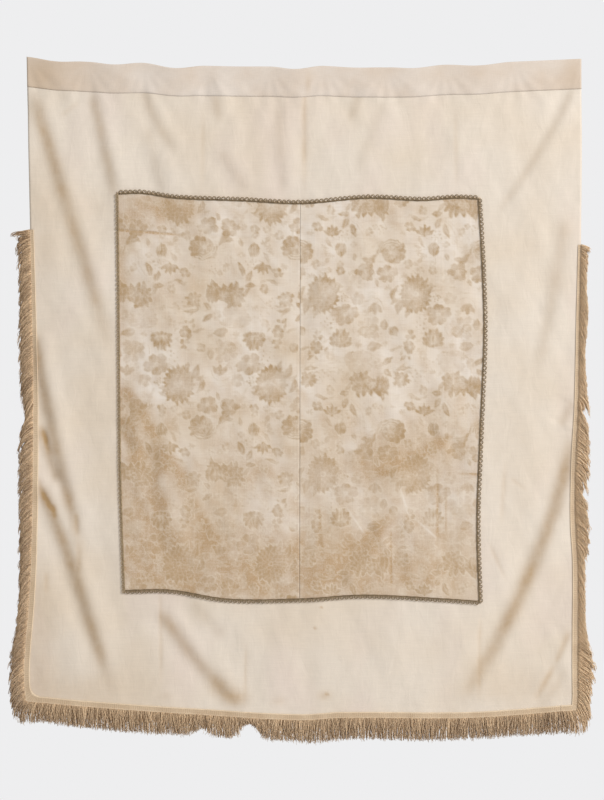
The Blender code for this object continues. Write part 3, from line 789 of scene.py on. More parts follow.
def blossom(x, y, size, petals, turn, tone):
    """An open flower about a light eye: uneven petals, each of two lobes."""
    for k in range(petals):
        lean = turn + 360 * k / petals
        reach = size / 2 * (1 + 0.14 * math.sin(2.6 * k + x))
        width = size * 0.34 * min(1.0, 4.6 / petals)
        shade = tone * (0.86 + 0.16 * math.cos(1.9 * k + y))
        for side in (-1, 1):
            petal(x, y, reach, width, lean + side * 54 / petals, shade, blunt=0.55, full=1.6)
    disc(x, y, size * 0.07, tone * 0.4, 0.8)


def tulip(x, y, size, turn, tone):
    """A crown of five petals, from the flower's foot."""
    for lean in (-58, 58, -28, 28, 0):
        petal(x, y, size * (0.82 if lean else 0.9), size * 0.3, turn + lean, tone, blunt=0.8, full=1.1)
    disc(x, y, size * 0.1, tone)


def bud(x, y, length, width, turn, tone):
    """A striped, rounded bud about its middle: narrow petals that bulge outward side by side."""
    ahead, aside = pointing(turn)
    for k in (-2, 2, -1, 1, 0):
        root_x = x - ahead * length / 2 - aside * k * width * 0.11
        root_y = y - aside * length / 2 + ahead * k * width * 0.11
        reach = length * (1 - 0.05 * abs(k))
        petal(root_x, root_y, reach, width * 0.25, turn - 2 * k, tone, full=1.0, rim=0.7, curve=0.07 * k)


def spray(x, y, size, turn, tone):
    """Five narrow leaves that open like a fan from one place."""
    for lean in (-64, 64, -32, 32, 0):
        petal(x, y, size * (1 - abs(lean) / 200), size * 0.26, turn + lean, tone, blunt=0.8)


def fan(x, y, size, turn, tone):
    """Three broad petals that hang from one place."""
    for lean in (-34, 34, 0):
        petal(x, y, size, size * 0.42, turn + lean, tone * (0.9 if lean else 1.0), blunt=0.7, full=1.4)


def berries(x, y, size, turn, tone):
    """Small dots in a loose cluster."""
    for k in range(8):
        across, down = pointing(turn + 137.5 * k)
        reach = size / 2 * math.sqrt((k + 0.5) / 8)
        disc(x + reach * across, y + reach * down, 2.2 + k % 3 * 0.6, tone, 0.25)


def chrysanthemum(x, y, size, turn, tone):
    """A large flower of pointed petals in four rings, fullest at its top, right and foot."""
    for ring in range(4):
        share = 1 - 0.86 * ring / 4
        count = max(7, round(23 * share))
        width = size * 0.135 * (0.7 + 0.3 * share)
        for k in range(count):
            lean = turn + 360 * (k + ring % 2 / 2) / count
            right, up = pointing(lean)
            reach = size / 2 * share * (0.8 + 0.2 * up * up + 0.09 * math.sin(3.1 * k + 1.7 * ring))
            shade = tone * (1 - 0.15 * ring) * (0.74 + 0.16 * right + 0.24 * up * up)
            petal(x, y, reach, width, lean, shade, blunt=0.8, full=1.5, rim=0.45, curve=0.06)
    disc(x, y, size * 0.05, tone * 0.3, 0.8)


def thistle(x, y, size, turn, tone):
    """A flower of side petals about an upright striped heart, on a row of round lobes."""
    for lean in (-84, 84, -58, 58, -34, 34, -14, 14):
        petal(x, y + size * 0.34, size * (0.86 - abs(lean) / 260), size * 0.26, turn - 90 + lean, tone * 0.9)
    for k in (-2, -1, 0, 1, 2):
        drop = size * (0.4 - 0.03 * k * k)
        disc(x + size * 0.17 * k, y + drop, size * 0.11, tone * 0.85, 0.6)
    top = y - size * 0.44
    for k in (-2, 2, -1, 1, 0):
        petal(x + size * 0.03 * k, top, size * 0.72, size * 0.12, turn + 90 + 6 * k, tone, rim=0.7)


def rosette(x, y, size, turn, tone):
    """A soft round flower, coiled in fine arcs."""
    for k, share in enumerate((1.0, 0.7, 0.4)):
        arc(x, y, size / 2 * share, turn + 70 * k, turn + 70 * k + 300, size * 0.13, tone)
    disc(x, y, size * 0.06, tone, 0.6)


# Where each lobe leans, its length and its width
PEONY_LOBES = (
    (58, 0.5, 0.22), (84, 0.48, 0.24), (112, 0.46, 0.26), (144, 0.44, 0.26), (176, 0.36, 0.22),
)


def peony(x, y, size, turn, tone):
    """A domed flower: fine arcs over a ruffled heart, with broad lobes at one side."""
    disc(x, y, size * 0.33, tone * 0.5)
    heart = x - size * 0.04
    for k, radius in enumerate((0.45, 0.37, 0.29)):
        start, end = turn - 92 + 6 * k, turn + 62 - 8 * k
        arc(x, y + size * 0.05, size * radius, start, end, size * 0.055, tone * 0.85, 0.8)
    for lean, reach, width in PEONY_LOBES:
        petal(x, y, size * reach, size * width, turn + lean, tone, blunt=0.5, full=1.6)
    for k in range(6):
        petal(heart, y, size * 0.22, size * 0.12, turn + 150 + 52 * k, tone * 0.7, full=1.4, rim=0.8)
    disc(heart, y, size * 0.05, tone * 0.3, 0.8)


def lotus(x, y, size, turn, tone):
    """A broad hanging flower: a full body of petals in three rings, a curl, a striped petal
    beside it, and tips below."""
    for lean, reach in ((58, 0.5), (34, 0.62), (14, 0.66), (-8, 0.62), (-30, 0.74), (-46, 0.8)):
        petal(x, y, size * reach, size * 0.2, turn + lean, tone, blunt=0.8, full=1.5)
    body_x, body_y = x - size * 0.22, y + size * 0.2
    for share, petals in ((0.34, 11), (0.24, 8), (0.14, 5)):
        for k in range(petals):
            lean = turn + 360 * k / petals + 40 * share
            reach = size * share * (1 + 0.12 * math.sin(2.3 * k))
            petal(body_x, body_y, reach, size * 0.17, lean, tone * 0.88, full=1.5, rim=0.6)
    for k in (-1, 1, 0):
        root = x + size * (0.4 + 0.1 * k)
        petal(root, y + size * 0.02, size * 0.44, size * 0.17, turn - 4 * k, tone * 0.95, full=1.0)
    for lean in (-40, 20, 80, 140):
        petal(x + size * 0.1, y + size * 0.22, size * 0.17, size * 0.11, turn + lean, tone * 0.7, rim=0.8)


# The chart of the repeat. Each row is what the function of its kind takes, in its order.

STEMS = (
    (148, 30, 152, 96, 5, 0.3), (152, 60, 192, 146, -14, 0.35), (160, 60, 198, 142, -18, 0.25),
    (140, 96, 126, 130, 6, 0.35), (126, 168, 122, 200, -4, 0.35), (60, 170, 96, 206, 8, 0.25),
    (96, 206, 80, 226, 4, 0.25), (204, 170, 226, 152, -8, 0.45), (118, 292, 152, 292, -6, 0.4),
    (152, 282, 190, 306, 14, 0.45), (192, 304, 250, 326, -24, 0.6), (160, 372, 164, 400, 4, 0.5),
    (72, 416, 96, 400, 6, 0.35), (158, 452, 236, 512, -30, 0.55), (236, 512, 262, 500, 8, 0.3),
    (62, 470, 92, 446, -6, 0.3), (240, 398, 262, 380, -4, 0.4), (238, 500, 252, 470, 4, 0.3),
    (330, 505, 385, 545, -8, 0.45), (88, 100, 118, 118, 4, 0.35), (10, 60, 40, 40, -4, 0.2),
)
LEAVES = (
    (70, 50, 46, 13, 24, 0.8, 0.1), (96, 50, 26, 9, -20, 0.55, 0.1), (131, 41, 36, 18, 178, 0.95),
    (135, 70, 36, 19, 115, 0.85), (161, 90, 48, 20, 69, 1, 0.05), (162, 170, 26, 15, 80, 0.75),
    (209, 234, 24, 12, 150, 0.75), (229, 246, 28, 13, 66, 0.85), (12, 281, 56, 20, 104, 0.85, 0.2),
    (206, 166, 52, 26, -20, 0.85, 0.26), (206, 158, 36, 10, -24, 0.1, 0.2),
    (82, 178, 26, 16, -50, 0.6), (66, 190, 24, 12, 10, 0.45), (251, 369, 36, 24, -84, 0.8),
    (279, 390, 34, 30, 50, 0.85), (222, 437, 48, 30, -12, 0.75, -0.06),
    (146, 455, 30, 11, -26, 0.8, 0.1), (170, 462, 26, 14, 40, 0.65),
    (20, 442, 26, 7, 150, 0.9, 0.1), (28, 455, 20, 9, 106, 1), (33, 470, 26, 11, 136, 0.95, 0.1),
    (50, 469, 15, 9, 60, 0.95), (78, 444, 18, 7, -40, 0.8), (27, 493, 26, 8, -38, 0.9, 0.1),
    (34, 503, 52, 13, -8, 0.9, -0.08), (44, 514, 44, 8, -4, 0.6, -0.06),
    (88, 507, 34, 6, 4, 0.5, 0.05), (259, 478, 42, 18, -34, 0.9, 0.05),
    (262, 513, 34, 17, 46, 0.95, 0.05), (6, 440, 34, 9, -28, 0.6, 0.05),
    (144, 555, 34, 14, 128, 0.65), (52, 46, 20, 8, -30, 0.5), (214, 274, 40, 6, 4, 0.35, 0.04),
    (216, 284, 34, 5, -6, 0.3, 0.04), (176, 44, 26, 14, 100, 1, 0.1), (246, 44, 44, 15, 84, 0.95),
    (232, 30, 40, 13, 92, 0.85), (263, 170, 30, 12, 140, 0.55, 0.1),
    (88, 124, 40, 14, 62, 0.55, 0.1), (74, 136, 30, 10, 30, 0.45, 0.1),
    (24, 318, 52, 24, 112, 0.7, 0.1), (42, 330, 44, 18, 96, 0.65, -0.1),
    (8, 302, 34, 14, 150, 0.6, 0.1), (118, 250, 34, 12, 30, 0.7, 0.1),
    (116, 268, 30, 10, 4, 0.6, 0.1), (148, 262, 26, 9, 120, 0.35, 0.1),
    (176, 254, 30, 8, 20, 0.35, 0.12),
)
BLOSSOMS = (
    (92, 31, 30, 6, 0, 0.7), (53, 80, 34, 4, 30, 0.95), (160, 132, 22, 4, 0, 0.45),
    (206, 94, 26, 4, 20, 0.6), (224, 78, 20, 4, 10, 0.6), (193, 211, 58, 5, -125, 0.95),
    (260, 219, 60, 5, 200, 0.8), (48, 190, 32, 4, 20, 0.7), (84, 208, 24, 4, 10, 0.55),
    (120, 209, 30, 5, 30, 1), (120, 190, 20, 4, 80, 0.6), (136, 340, 72, 5, 58, 0.82),
    (174, 293, 42, 4, 60, 0.5), (54, 403, 34, 3, 30, 0.9), (50, 436, 40, 5, 15, 1.05),
    (206, 380, 72, 7, 0, 0.45), (150, 474, 36, 5, 40, 0.45), (90, 463, 28, 4, 45, 0.4),
    (232, 486, 30, 4, 20, 0.4), (24, 140, 36, 4, 10, 0.3), (26, 533, 50, 8, 12, 0.9),
    (26, 533, 26, 6, 0, 0.75), (176, 484, 84, 6, 25, 0.3), (166, 240, 34, 5, 15, 0.28),
)
MOTIFS = (
    (berries, 244, 90, 28, 10, 0.55), (berries, 132, 107, 36, 60, 0.65),
    (berries, 132, 291, 26, 20, 1), (berries, 82, 367, 42, 80, 0.8),
    (berries, 68, 524, 38, 30, 0.6), (berries, 66, 222, 22, 0, 0.4),
    (berries, 108, 486, 30, 10, 0.3), (berries, 216, 116, 26, 40, 0.25),
    (tulip, 96, 107, 42, -90, 1), (fan, 224, 304, 38, 92, 0.8), (rosette, 193, 390, 30, 10, 0.7),
    (rosette, 219, 383, 26, 80, 0.7), (peony, 273, 156, 92, -90, 0.95),
    (chrysanthemum, 70, 280, 124, 8, 1), (thistle, 122, 408, 62, 0, 1),
    (lotus, 204, 520, 104, 90, 0.95),
)


SPRIG_SIZE = 19
SPRIG_TONE = 0.5
SPRIGS = (
    (28, 104, -60), (96, 160, 120), (236, 128, 40), (34, 232, -90), (150, 210, 60),
    (104, 338, 200), (190, 338, -30), (250, 420, 70), (122, 516, -110), (206, 462, 20),
    (14, 392, 160), (262, 268, -80), (70, 156, -20), (176, 424, 100),
)


FILL_COUNT = 110
FILL_SEED = 41
FILL_TONE = 0.34


def fill_ground():
    """Fine curls and small dim leaves all over, for what shows between the flowers."""
    draw = np.random.default_rng(FILL_SEED)
    for _ in range(FILL_COUNT):
        x, y, turn = draw.uniform(0.0, (REPEAT_WIDTH, REPEAT_HEIGHT, 360.0))
        radius, sweep, reach = draw.uniform((5.0, 120.0, 12.0), (13.0, 240.0, 26.0))
        arc(x, y, radius, turn, turn + sweep, 1.8, FILL_TONE, 0.6)
        leaf(x + radius, y, reach, reach * 0.3, turn, FILL_TONE)


def draw_design():
    """Draws the whole repeat: curls, stalks and leaves first, with the flowers over them."""
    fill_ground()
    for row in STEMS:
        stem(*row)
    for row in LEAVES:
        leaf(*row)
    for row in BLOSSOMS:
        blossom(*row)
    for motif, *row in MOTIFS:
        motif(*row)
    for x, y, turn in SPRIGS:
        spray(x, y, SPRIG_SIZE, turn, SPRIG_TONE)
    bud(122, 148, 44, 38, 90, 1.00)


def softened(canvas):
    """The canvas with each place averaged with its neighbours, round the repeat's edges."""
    shifts = [(row, column) for row in (-1, 0, 1) for column in (-1, 0, 1)]
    return sum(np.roll(canvas, shift, axis=(0, 1)) for shift in shifts) / len(shifts)


def read_repeat(canvas, across, down):
    """The canvas at places given in repeats, between its nearest millimetres."""
    column, row = across * REPEAT_WIDTH - 0.5, down * REPEAT_HEIGHT - 0.5
    left, top = np.floor(column).astype(int), np.floor(row).astype(int)
    share_x, share_y = column - left, row - top

    def level(line):
        cells = [canvas[line % REPEAT_HEIGHT, place % REPEAT_WIDTH] for place in (left, left + 1)]
        return cells[0] * (1 - share_x) + cells[1] * share_x

    return level(top) * (1 - share_y) + level(top + 1) * share_y


# The damask: two widths of one cloth, the left one sewn on upside down

DAMASK_CELLS = (186, 408)
DESIGN_TOP = -0.392
DESIGN_LEFT_START = 0.0138
DESIGN_LEFT_FOOT = -0.1544
WEAVE_DRIFT = 0.0045
OUTLINE_SHARE = 2.2
DAMASK_SOIL = 0.14
DAMASK_SOIL_UNEVEN = 0.14
FOLD_BANDING = 1.4
FIGURE_STRENGTH = 0.84
FIGURE_UNEVEN = 0.2
FIGURE_RANGE = (0.3, 1.15)
LINE_RANGE = (0.25, 0.9)
LINE_WORN = 1.5
FIGURE_FADING = 0.26
FADED_BELOW = -1.08
FADED_RUN = 0.22
SEAM_PUFF = 0.0002
SEAM_PUFF_PLACE = 0.004
SEAM_PUFF_WIDTH = 0.003


def add_damask(name, left, right, upside_down):
    x, z = spread(left, right, panel_top, panel_bottom, *DAMASK_CELLS)
    seam = panel_seam(z)
    if upside_down:
        across = (seam - x - DESIGN_LEFT_START) / (REPEAT_WIDTH * MILLIMETRE)
        down = (z - DESIGN_LEFT_FOOT) / (REPEAT_HEIGHT * MILLIMETRE)
    else:
        across = (x - seam) / (REPEAT_WIDTH * MILLIMETRE)
        down = (DESIGN_TOP - z) / (REPEAT_HEIGHT * MILLIMETRE)
    pattern, outlines = softened(FIGURE), softened(LINE)
    outlines = np.maximum(outlines, OUTLINE_SHARE * np.hypot(*np.gradient(pattern)))
    across = across + WEAVE_DRIFT * clouds(x, z, *WEAVE_CLOUDS_ACROSS)
    down = down + WEAVE_DRIFT * clouds(x, z, *WEAVE_CLOUDS_DOWN) / 2
    puff = SEAM_PUFF * np.exp(-(((np.abs(x - seam) - SEAM_PUFF_PLACE) / SEAM_PUFF_WIDTH) ** 2))
    lighter_by = FIGURE_FADING * smooth_step((FADED_BELOW - z) / FADED_RUN)
    wear = FIGURE_STRENGTH - lighter_by + FIGURE_UNEVEN * clouds(x, z, *WEAR_CLOUDS)
    soil_and_shade = DAMASK_SOIL + DAMASK_SOIL_UNEVEN * clouds(x, z, *DAMASK_SOIL_CLOUDS)
    # Stains, brown bands along the folds and creases, and the painted shade along the folds and creases
    soil_and_shade = soil_and_shade + stain_field(DAMASK_STAINS, x, z) + soft_lines(FOLD_BANDS, x, z) * FOLD_BANDING + fold_shade_and_dust(x, z)
    fields = {
        "figure": read_repeat(pattern, across, down) * np.clip(wear, *FIGURE_RANGE),
        "line": np.clip(read_repeat(outlines, across, down), 0.0, LINE_RANGE[1])
        * np.clip(LINE_WORN - wear, *LINE_RANGE),
        "soil_and_shade": np.clip(soil_and_shade, 0, 1),
    }
    return add_cloth(name, x, z, DAMASK_LIFT + puff, CLOTH_THICK, DAMASK_MATERIAL, fields)


# Round tubes, for threads and cords

def tubes(paths, radii, sides, closed):
    """Places and faces of round tubes along many paths of as many steps each. Closed ones are
    rings, and open ones get flat ends."""
    if closed:
        ahead = np.roll(paths, -1, axis=1) - np.roll(paths, 1, axis=1)
    else:
        ahead = np.gradient(paths, axis=1)
    ahead /= np.linalg.norm(ahead, axis=-1, keepdims=True)
    depth = np.array((0.0, 1.0, 0.0)) - ahead * ahead[..., 1:2]
    depth /= np.linalg.norm(depth, axis=-1, keepdims=True)
    aside = np.cross(ahead, depth)
    count, steps = paths.shape[:2]
    radii = np.broadcast_to(radii, (count, steps))[..., None]
    angles = [TURN * k / sides for k in range(sides)]
    sections = [paths + radii * (aside * math.cos(a) + depth * math.sin(a)) for a in angles]
    index = np.arange(count * steps * sides).reshape(count, steps, sides)
    before, after = index, np.roll(index, -1, axis=1)
    if not closed:
        before, after = before[:, :-1], after[:, :-1]
    ring = [before, after, np.roll(after, -1, axis=2), np.roll(before, -1, axis=2)]
    faces = np.stack(ring, axis=-1).reshape(-1, 4).tolist()
    if not closed:
        faces += index[:, 0].tolist() + index[:, -1, ::-1].tolist()
    return np.stack(sections, axis=2).reshape(-1, 3), faces


def gathered(parts):
    """Several (places, faces) pairs as one."""
    places, faces, first = [], [], 0
    for part_places, part_faces in parts:
        places.append(part_places)
        faces += [[corner + first for corner in face] for face in part_faces]
        first += len(part_places)
    return np.concatenate(places), faces


# The lace: two cords along the damask's raw edge, and a ring of cord for every scallop

LACE_CORD_RADIUS = 0.0012
LACE_FINE_RADIUS = 0.0008
LACE_RING_RADIUS = 0.0013
LACE_CORD_INSET = 0.007
LACE_FINE_INSET = 0.005
LACE_RING_INSET = 0.001
LACE_RING_ALONG = 0.005
LACE_RING_ACROSS = 0.0044
LACE_TONES = (0.0, 0.15, 0.2)
LACE_STEP = 0.004
LACE_WAVER = 0.0003
LACE_UNEVEN = 0.1
LACE_SEED = 5


def lace_side(name, edge, upright, start, end, outward, seed, width=1.0, tone=0.0):
    """One side of the lace: edge gives the panel's edge, read at z if upright and else at x."""
    draw = np.random.default_rng(LACE_SEED + seed)

    def beside(along, inset):
        across = edge(along) - outward * inset * width
        x, z = (across, along) if upright else (along, across)
        return x, z

    def cord(inset, radius, sides):
        along = np.linspace(start, end, int(abs(end - start) / LACE_STEP))
        waver = LACE_WAVER * np.sin(along * TURN / 0.031 + seed)
        x, z = beside(along, inset + waver)
        return tubes(laid(x, z, LACE_LIFT + radius)[None], radius, sides, False)

    def rings(along, across, radius, steps, sides):
        size = 1 + draw.uniform(-LACE_UNEVEN, LACE_UNEVEN, (2, len(centre), 1))
        angle = np.linspace(0, TURN, steps, endpoint=False)[None]
        ring_inset = LACE_RING_INSET + across * size[1] * np.sin(angle)
        x, z = beside(centre + along * size[0] * np.cos(angle), ring_inset)
        return tubes(laid(x, z, LACE_LIFT + radius), radius, sides, True)

    count = int(abs(end - start) / LACE_PITCH)
    centre = np.linspace(start, end, 2 * count + 1)[1::2, None]
    parts = (
        cord(LACE_CORD_INSET, LACE_CORD_RADIUS, 6),
        cord(LACE_FINE_INSET, LACE_FINE_RADIUS, 5),
        rings(LACE_RING_ALONG, LACE_RING_ACROSS, LACE_RING_RADIUS, 14, 5),
    )
    piece = add_mesh(name, *gathered(parts), LACE_MATERIAL)
    add_field(piece, "tone", np.repeat(LACE_TONES, [len(places) for places, _ in parts]) + tone)
    return piece


# The braid and the fringe. The braid's profile and edges run from its outer edge inward, and its
# tones are those of the middle, the outer cord and the inner cord. The spreads of locks and
# strands are those of length, lean and tone. Pairs of depths and bulges are those of the row
# nearest the wall, and how much the front row adds.

Strip = namedtuple("Strip", "outer inner run")
CORNER_RADIUS = 0.053
CORNER_SPLIT = 50
CORNER_STEP = 3
FOOT_LEVEL = -1.9
CORNER_FILL = 0.75
RIGHT_CORNER_INNER_FILL = 0.8
CORNER_LONGER = 0.14
BRAID_STEP = 0.0028
BRAID_PROFILE = charted(
    (0, 0), (0, 1.6), (60, 2.3), (140, 1.6), (230, 2.1), (330, 1.4), (440, 2), (550, 1.4),
    (660, 2), (770, 1.3), (860, 2.4), (940, 2.4), (1000, 1.4), (1000, 0),
)
BRAID_TWILL = 0.00035
BRAID_TWILL_PITCH = 0.0062
BRAID_TWILL_LEAN = 2.5
BRAID_EDGES = (0.2, 0.82)
BRAID_TONES = (0.35, 0.8, 0.95)
BRAID_UNEVEN = 0.25
STRAND_SPACING = 0.00085
STRAND_STEPS = 10
STRAND_SIDES = 3
STRAND_RADIUS = 0.00095
STRAND_TIP_SHARE = 0.6
STRAND_CURL = 0.0019
BACK_STEPS = 5
BACK_SPACING = 0.0019
BACK_RADIUS = 0.002
# How much darker the row behind is painted: painted shade for the threads behind the front ones
BACK_PAINTED_SHADE = 0.14
BACK_SHORTER = 0.96
BACK_CALM = 0.15
LOCK_PITCH = 0.0036
LOCK_GATHER = 0.25
LOCK_WAVER = 0.35
LOCK_WAVER_PACE = 171
LOCK_SPREADS = (0.025, 0.07, 0.13)
LOCK_FORWARD = 0.003
STRAND_SPREADS = (0.045, 0.12, 0.15)
STRAND_TONE = 0.66
STRAND_ROOT_TONE = 1.04
STRAND_TIP_DARKER = 0.22
STRAND_INSETS = (-0.04, 0.09)
STRAND_TURNS = (1.0, 2.8)
STRAND_DROOP = 1.12
STRAND_DEPTHS = (0.0018, 0.0024)
STRAND_BULGES = (0.0015, 0.003)
STRAND_TIP_INWARD = 0.0035
STRAND_CURL_IN = 0.7
LEANS = ((0.113, 0.055), (0.047, 0.03), (0.021, 0.012))
TUFT_WAVES = (0.0135, 0.021, 0.0337)
TUFT_SHARE = 0.11
FRINGE_SEED = 23


Side = namedtuple("Side", "edge reach braid_width inner_fill")
SIDES = {
    -1: Side(left_edge, left_reach, left_braid_width, 0.0),
    1: Side(right_edge, right_reach, right_braid_width, RIGHT_CORNER_INNER_FILL),
}


def corner_centre(side):
    """The middle of the braid's turn at a foot corner. side is -1 at the left and 1 at the right."""
    edge = SIDES[side].edge
    z = foot(edge(FOOT_LEVEL) - side * CORNER_RADIUS) + CORNER_RADIUS
    return edge(z) - side * CORNER_RADIUS, z


def corner_strip(side, first, last):
    """The rounded turn of the braid from one angle to another, from the side edge down."""
    angle = np.radians(np.linspace(first, last, 2 + int(abs(last - first) / CORNER_STEP)))
    centre = corner_centre(side)
    toward = np.stack([side * np.cos(angle), -np.sin(angle)], axis=-1)
    square = 1 / np.maximum(np.cos(angle), np.sin(angle)) - 1.0
    inner_radius = (CORNER_RADIUS - BRAID_WIDTH) * (1 + SIDES[side].inner_fill * square)
    outer = centre + toward * (CORNER_RADIUS * (1 + CORNER_FILL * square))[:, None]
    inner = centre + toward * inner_radius[:, None]
    out, drop = SIDES[side].reach(centre[1])
    foot_out, foot_drop = foot_reach(centre[0])
    turned = smooth_step(np.degrees(angle) / 90.0)
    run_x = side * out * (1 - turned) + foot_out * turned
    run_z = -(drop * (1 - turned) + foot_drop * turned)
    longer = 1 + CORNER_LONGER * np.sin(2 * angle)
    return Strip(outer, inner, np.stack([run_x, run_z], axis=-1) * longer[:, None])


def side_strip(side, start):
    end = corner_centre(side)[1]
    z = np.linspace(start, end, int((start - end) / BRAID_STEP))
    x = SIDES[side].edge(z)
    inner = np.stack([x - side * SIDES[side].braid_width(z), z], axis=-1)
    out, drop = SIDES[side].reach(z)
    return Strip(np.stack([x, z], axis=-1), inner, np.stack([side * out, -drop], axis=-1))


def foot_strip():
    start, end = left_edge(FOOT_LEVEL) + CORNER_RADIUS, right_edge(FOOT_LEVEL) - CORNER_RADIUS
    x = np.linspace(start, end, int((end - start) / BRAID_STEP))
    outer = np.stack([x, foot(x)], axis=-1)
    inner = outer + np.array((0.0, BRAID_WIDTH))
    out, drop = foot_reach(x)
    return Strip(outer, inner, np.stack([out, -drop], axis=-1))


def joined(strips):
    return Strip(*(np.concatenate(parts) for parts in zip(*strips)))


def length_along(places):
    steps = np.linalg.norm(np.diff(places, axis=0), axis=-1)
    return np.concatenate([[0.0], np.cumsum(steps)])


def braid_parts(strip):
    """The braid's ridged face as places, faces and the tone of each place."""
    across, height = BRAID_PROFILE.T
    along = length_along(strip.outer)[:, None]
    share = across[:, None]
    flat = strip.outer[:, None] * (1 - share) + strip.inner[:, None] * share
    twill = BRAID_TWILL * np.sin(TURN * (along / BRAID_TWILL_PITCH + across * BRAID_TWILL_LEAN))
    raised = np.where(height > 0.0, height + twill, 0.0)
    places = laid(flat[..., 0], flat[..., 1], LAYER_GAP + raised)
    middle = (across > BRAID_EDGES[0]) & (across < BRAID_EDGES[1])
    plain = np.where(across < BRAID_EDGES[1], np.where(middle, *BRAID_TONES[:2]), BRAID_TONES[2])
    tone = plain + BRAID_UNEVEN * np.sin(TURN * along / BRAID_TWILL_PITCH) * middle
    return places.reshape(-1, 3), grid_faces(*raised.shape), tone


def strand_paths(strip, draw, behind):
    """The paths, tones and widths of one row of the fringe's threads: calm, close and thick ones
    behind, or fine curled ones in small uneven locks."""
    along = length_along(strip.outer)
    if behind:
        at = np.arange(0.0, along[-1], BACK_SPACING)
        layer, calm, steps = np.zeros(len(at)), BACK_CALM, BACK_STEPS
    else:
        at = np.sort(draw.uniform(0.0, along[-1], int(along[-1] / STRAND_SPACING)))
        layer, calm, steps = draw.uniform(0.1, 1.0, len(at)), 1.0, STRAND_STEPS
    count = len(at)

    def read(values, place):
        return np.stack([np.interp(place, along, values[:, k]) for k in range(2)], axis=-1)

    inset = draw.uniform(*STRAND_INSETS, count)[:, None]
    root = read(strip.outer, at) * (1 - inset) + read(strip.inner, at) * inset
    lock = np.floor(at / LOCK_PITCH + LOCK_WAVER * np.sin(at * LOCK_WAVER_PACE)).astype(int)
    lock -= lock.min()
    locks = lock.max() + 1
    lock_at = (np.bincount(lock, at, locks) / np.maximum(np.bincount(lock, minlength=locks), 1))[lock]
    lock_length, lock_lean, lock_tone = (
        draw.normal(middle, wide, locks)[lock] for middle, wide in zip((1.0, 0.0, 0.0), LOCK_SPREADS)
    )
    lock_forward = draw.uniform(0.0, LOCK_FORWARD, locks)[lock]
    gathered_at = at + (lock_at - at) * LOCK_GATHER * calm
    pulled = read(strip.outer, np.clip(gathered_at, 0.0, along[-1])) - read(strip.outer, at)
    run = read(strip.run, at)
    size = np.linalg.norm(run, axis=-1, keepdims=True)
    tufts = sum(np.sin(TURN * at / wave + 40 * wave) for wave in TUFT_WAVES)
    ragged = 1 + TUFT_SHARE * np.abs(run[:, 0]) / size[:, 0] * tufts
    shorter = BACK_SHORTER if behind else 1.0
    run = run * (lock_length * ragged * draw.normal(1.0, STRAND_SPREADS[0], count) * shorter)[:, None]
    ahead = read(np.gradient(strip.outer, axis=0), at)
    ahead /= np.linalg.norm(ahead, axis=-1, keepdims=True)
    outward = np.stack([ahead[:, 1], -ahead[:, 0]], axis=-1)
    lean = lock_lean + draw.normal(0.0, STRAND_SPREADS[1], count)
    for wave, strength in LEANS:
        lean = lean + strength * np.sin(TURN * at / wave + draw.uniform(0.0, TURN))
    slip = ahead * (lean * calm)[:, None] * size + pulled
    t = np.linspace(0, 1, steps)[None, :, None]
    run_out = run[:, None] * (1.0, 0.0) * np.sin(np.pi / 2 * t)
    run_down = run[:, None] * (0.0, 1.0) * t**STRAND_DROOP
    turns, phase = draw.uniform(*STRAND_TURNS, count), draw.uniform(0.0, TURN, count)
    angle = TURN * t * turns[:, None, None] + phase[:, None, None]
    curl = (draw.normal(STRAND_CURL, 0.4 * STRAND_CURL, count) * calm)[:, None, None] * np.sqrt(t)
    flat = root[:, None] + run_out + run_down + slip[:, None] * t
    flat = flat + curl * (ahead[:, None] * np.sin(angle) + STRAND_CURL_IN * outward[:, None] * np.cos(angle))
    layer, share = layer[:, None], t[..., 0]
    bulge = (STRAND_BULGES[0] + STRAND_BULGES[1] * layer) * np.sin(np.pi * share)
    bulge = bulge + lock_forward[:, None] * share
    depth = stand_off(root[:, 0], root[:, 1])[:, None] + LAYER_GAP + STRAND_DEPTHS[0]
    depth = depth + STRAND_DEPTHS[1] * layer + bulge - STRAND_TIP_INWARD * (1 - layer) * share
    paths = np.stack([flat[..., 0], -depth, flat[..., 1]], axis=-1)
    # The row behind is painted darker, as painted shade
    back_shade = BACK_PAINTED_SHADE if behind else 0.0
    tone = STRAND_TONE + lock_tone + draw.normal(0.0, STRAND_SPREADS[2], count) - back_shade
    tone = np.clip(tone, 0, 1)[:, None] * (STRAND_ROOT_TONE - STRAND_TIP_DARKER * share)
    taper = 1 - (1 - STRAND_TIP_SHARE) * share**2
    return paths, tone, (BACK_RADIUS if behind else STRAND_RADIUS) * taper


def add_fringe(name, strip, seed, lighter_by):
    """One backing of braid with its threads, as one piece of two materials. Its threads are painted lighter
    than those of the foot by the last argument: painted light at the lit right side, and painted shade at
    the left, where it is negative."""
    draw = np.random.default_rng(FRINGE_SEED + seed)
    braid_places, braid_faces, braid_tone = braid_parts(strip)
    rows = [strand_paths(strip, draw, behind) for behind in (True, False)]
    strands = [tubes(paths, radii, STRAND_SIDES, False) for paths, _, radii in rows]
    piece = add_mesh(name, *gathered([(braid_places, braid_faces), *strands]), BRAID_MATERIAL)
    piece.data.materials.append(FRINGE_MATERIAL)
    slots = np.zeros(len(piece.data.polygons), dtype=np.int32)
    slots[len(braid_faces):] = 1
    piece.data.polygons.foreach_set("material_index", slots)
    strand_tones = [np.repeat(np.ravel(tone) + lighter_by, STRAND_SIDES) for _, tone, _ in rows]
    add_field(piece, "tone", np.concatenate([np.ravel(braid_tone), *strand_tones]))
    return piece


# The stage, the light and the camera

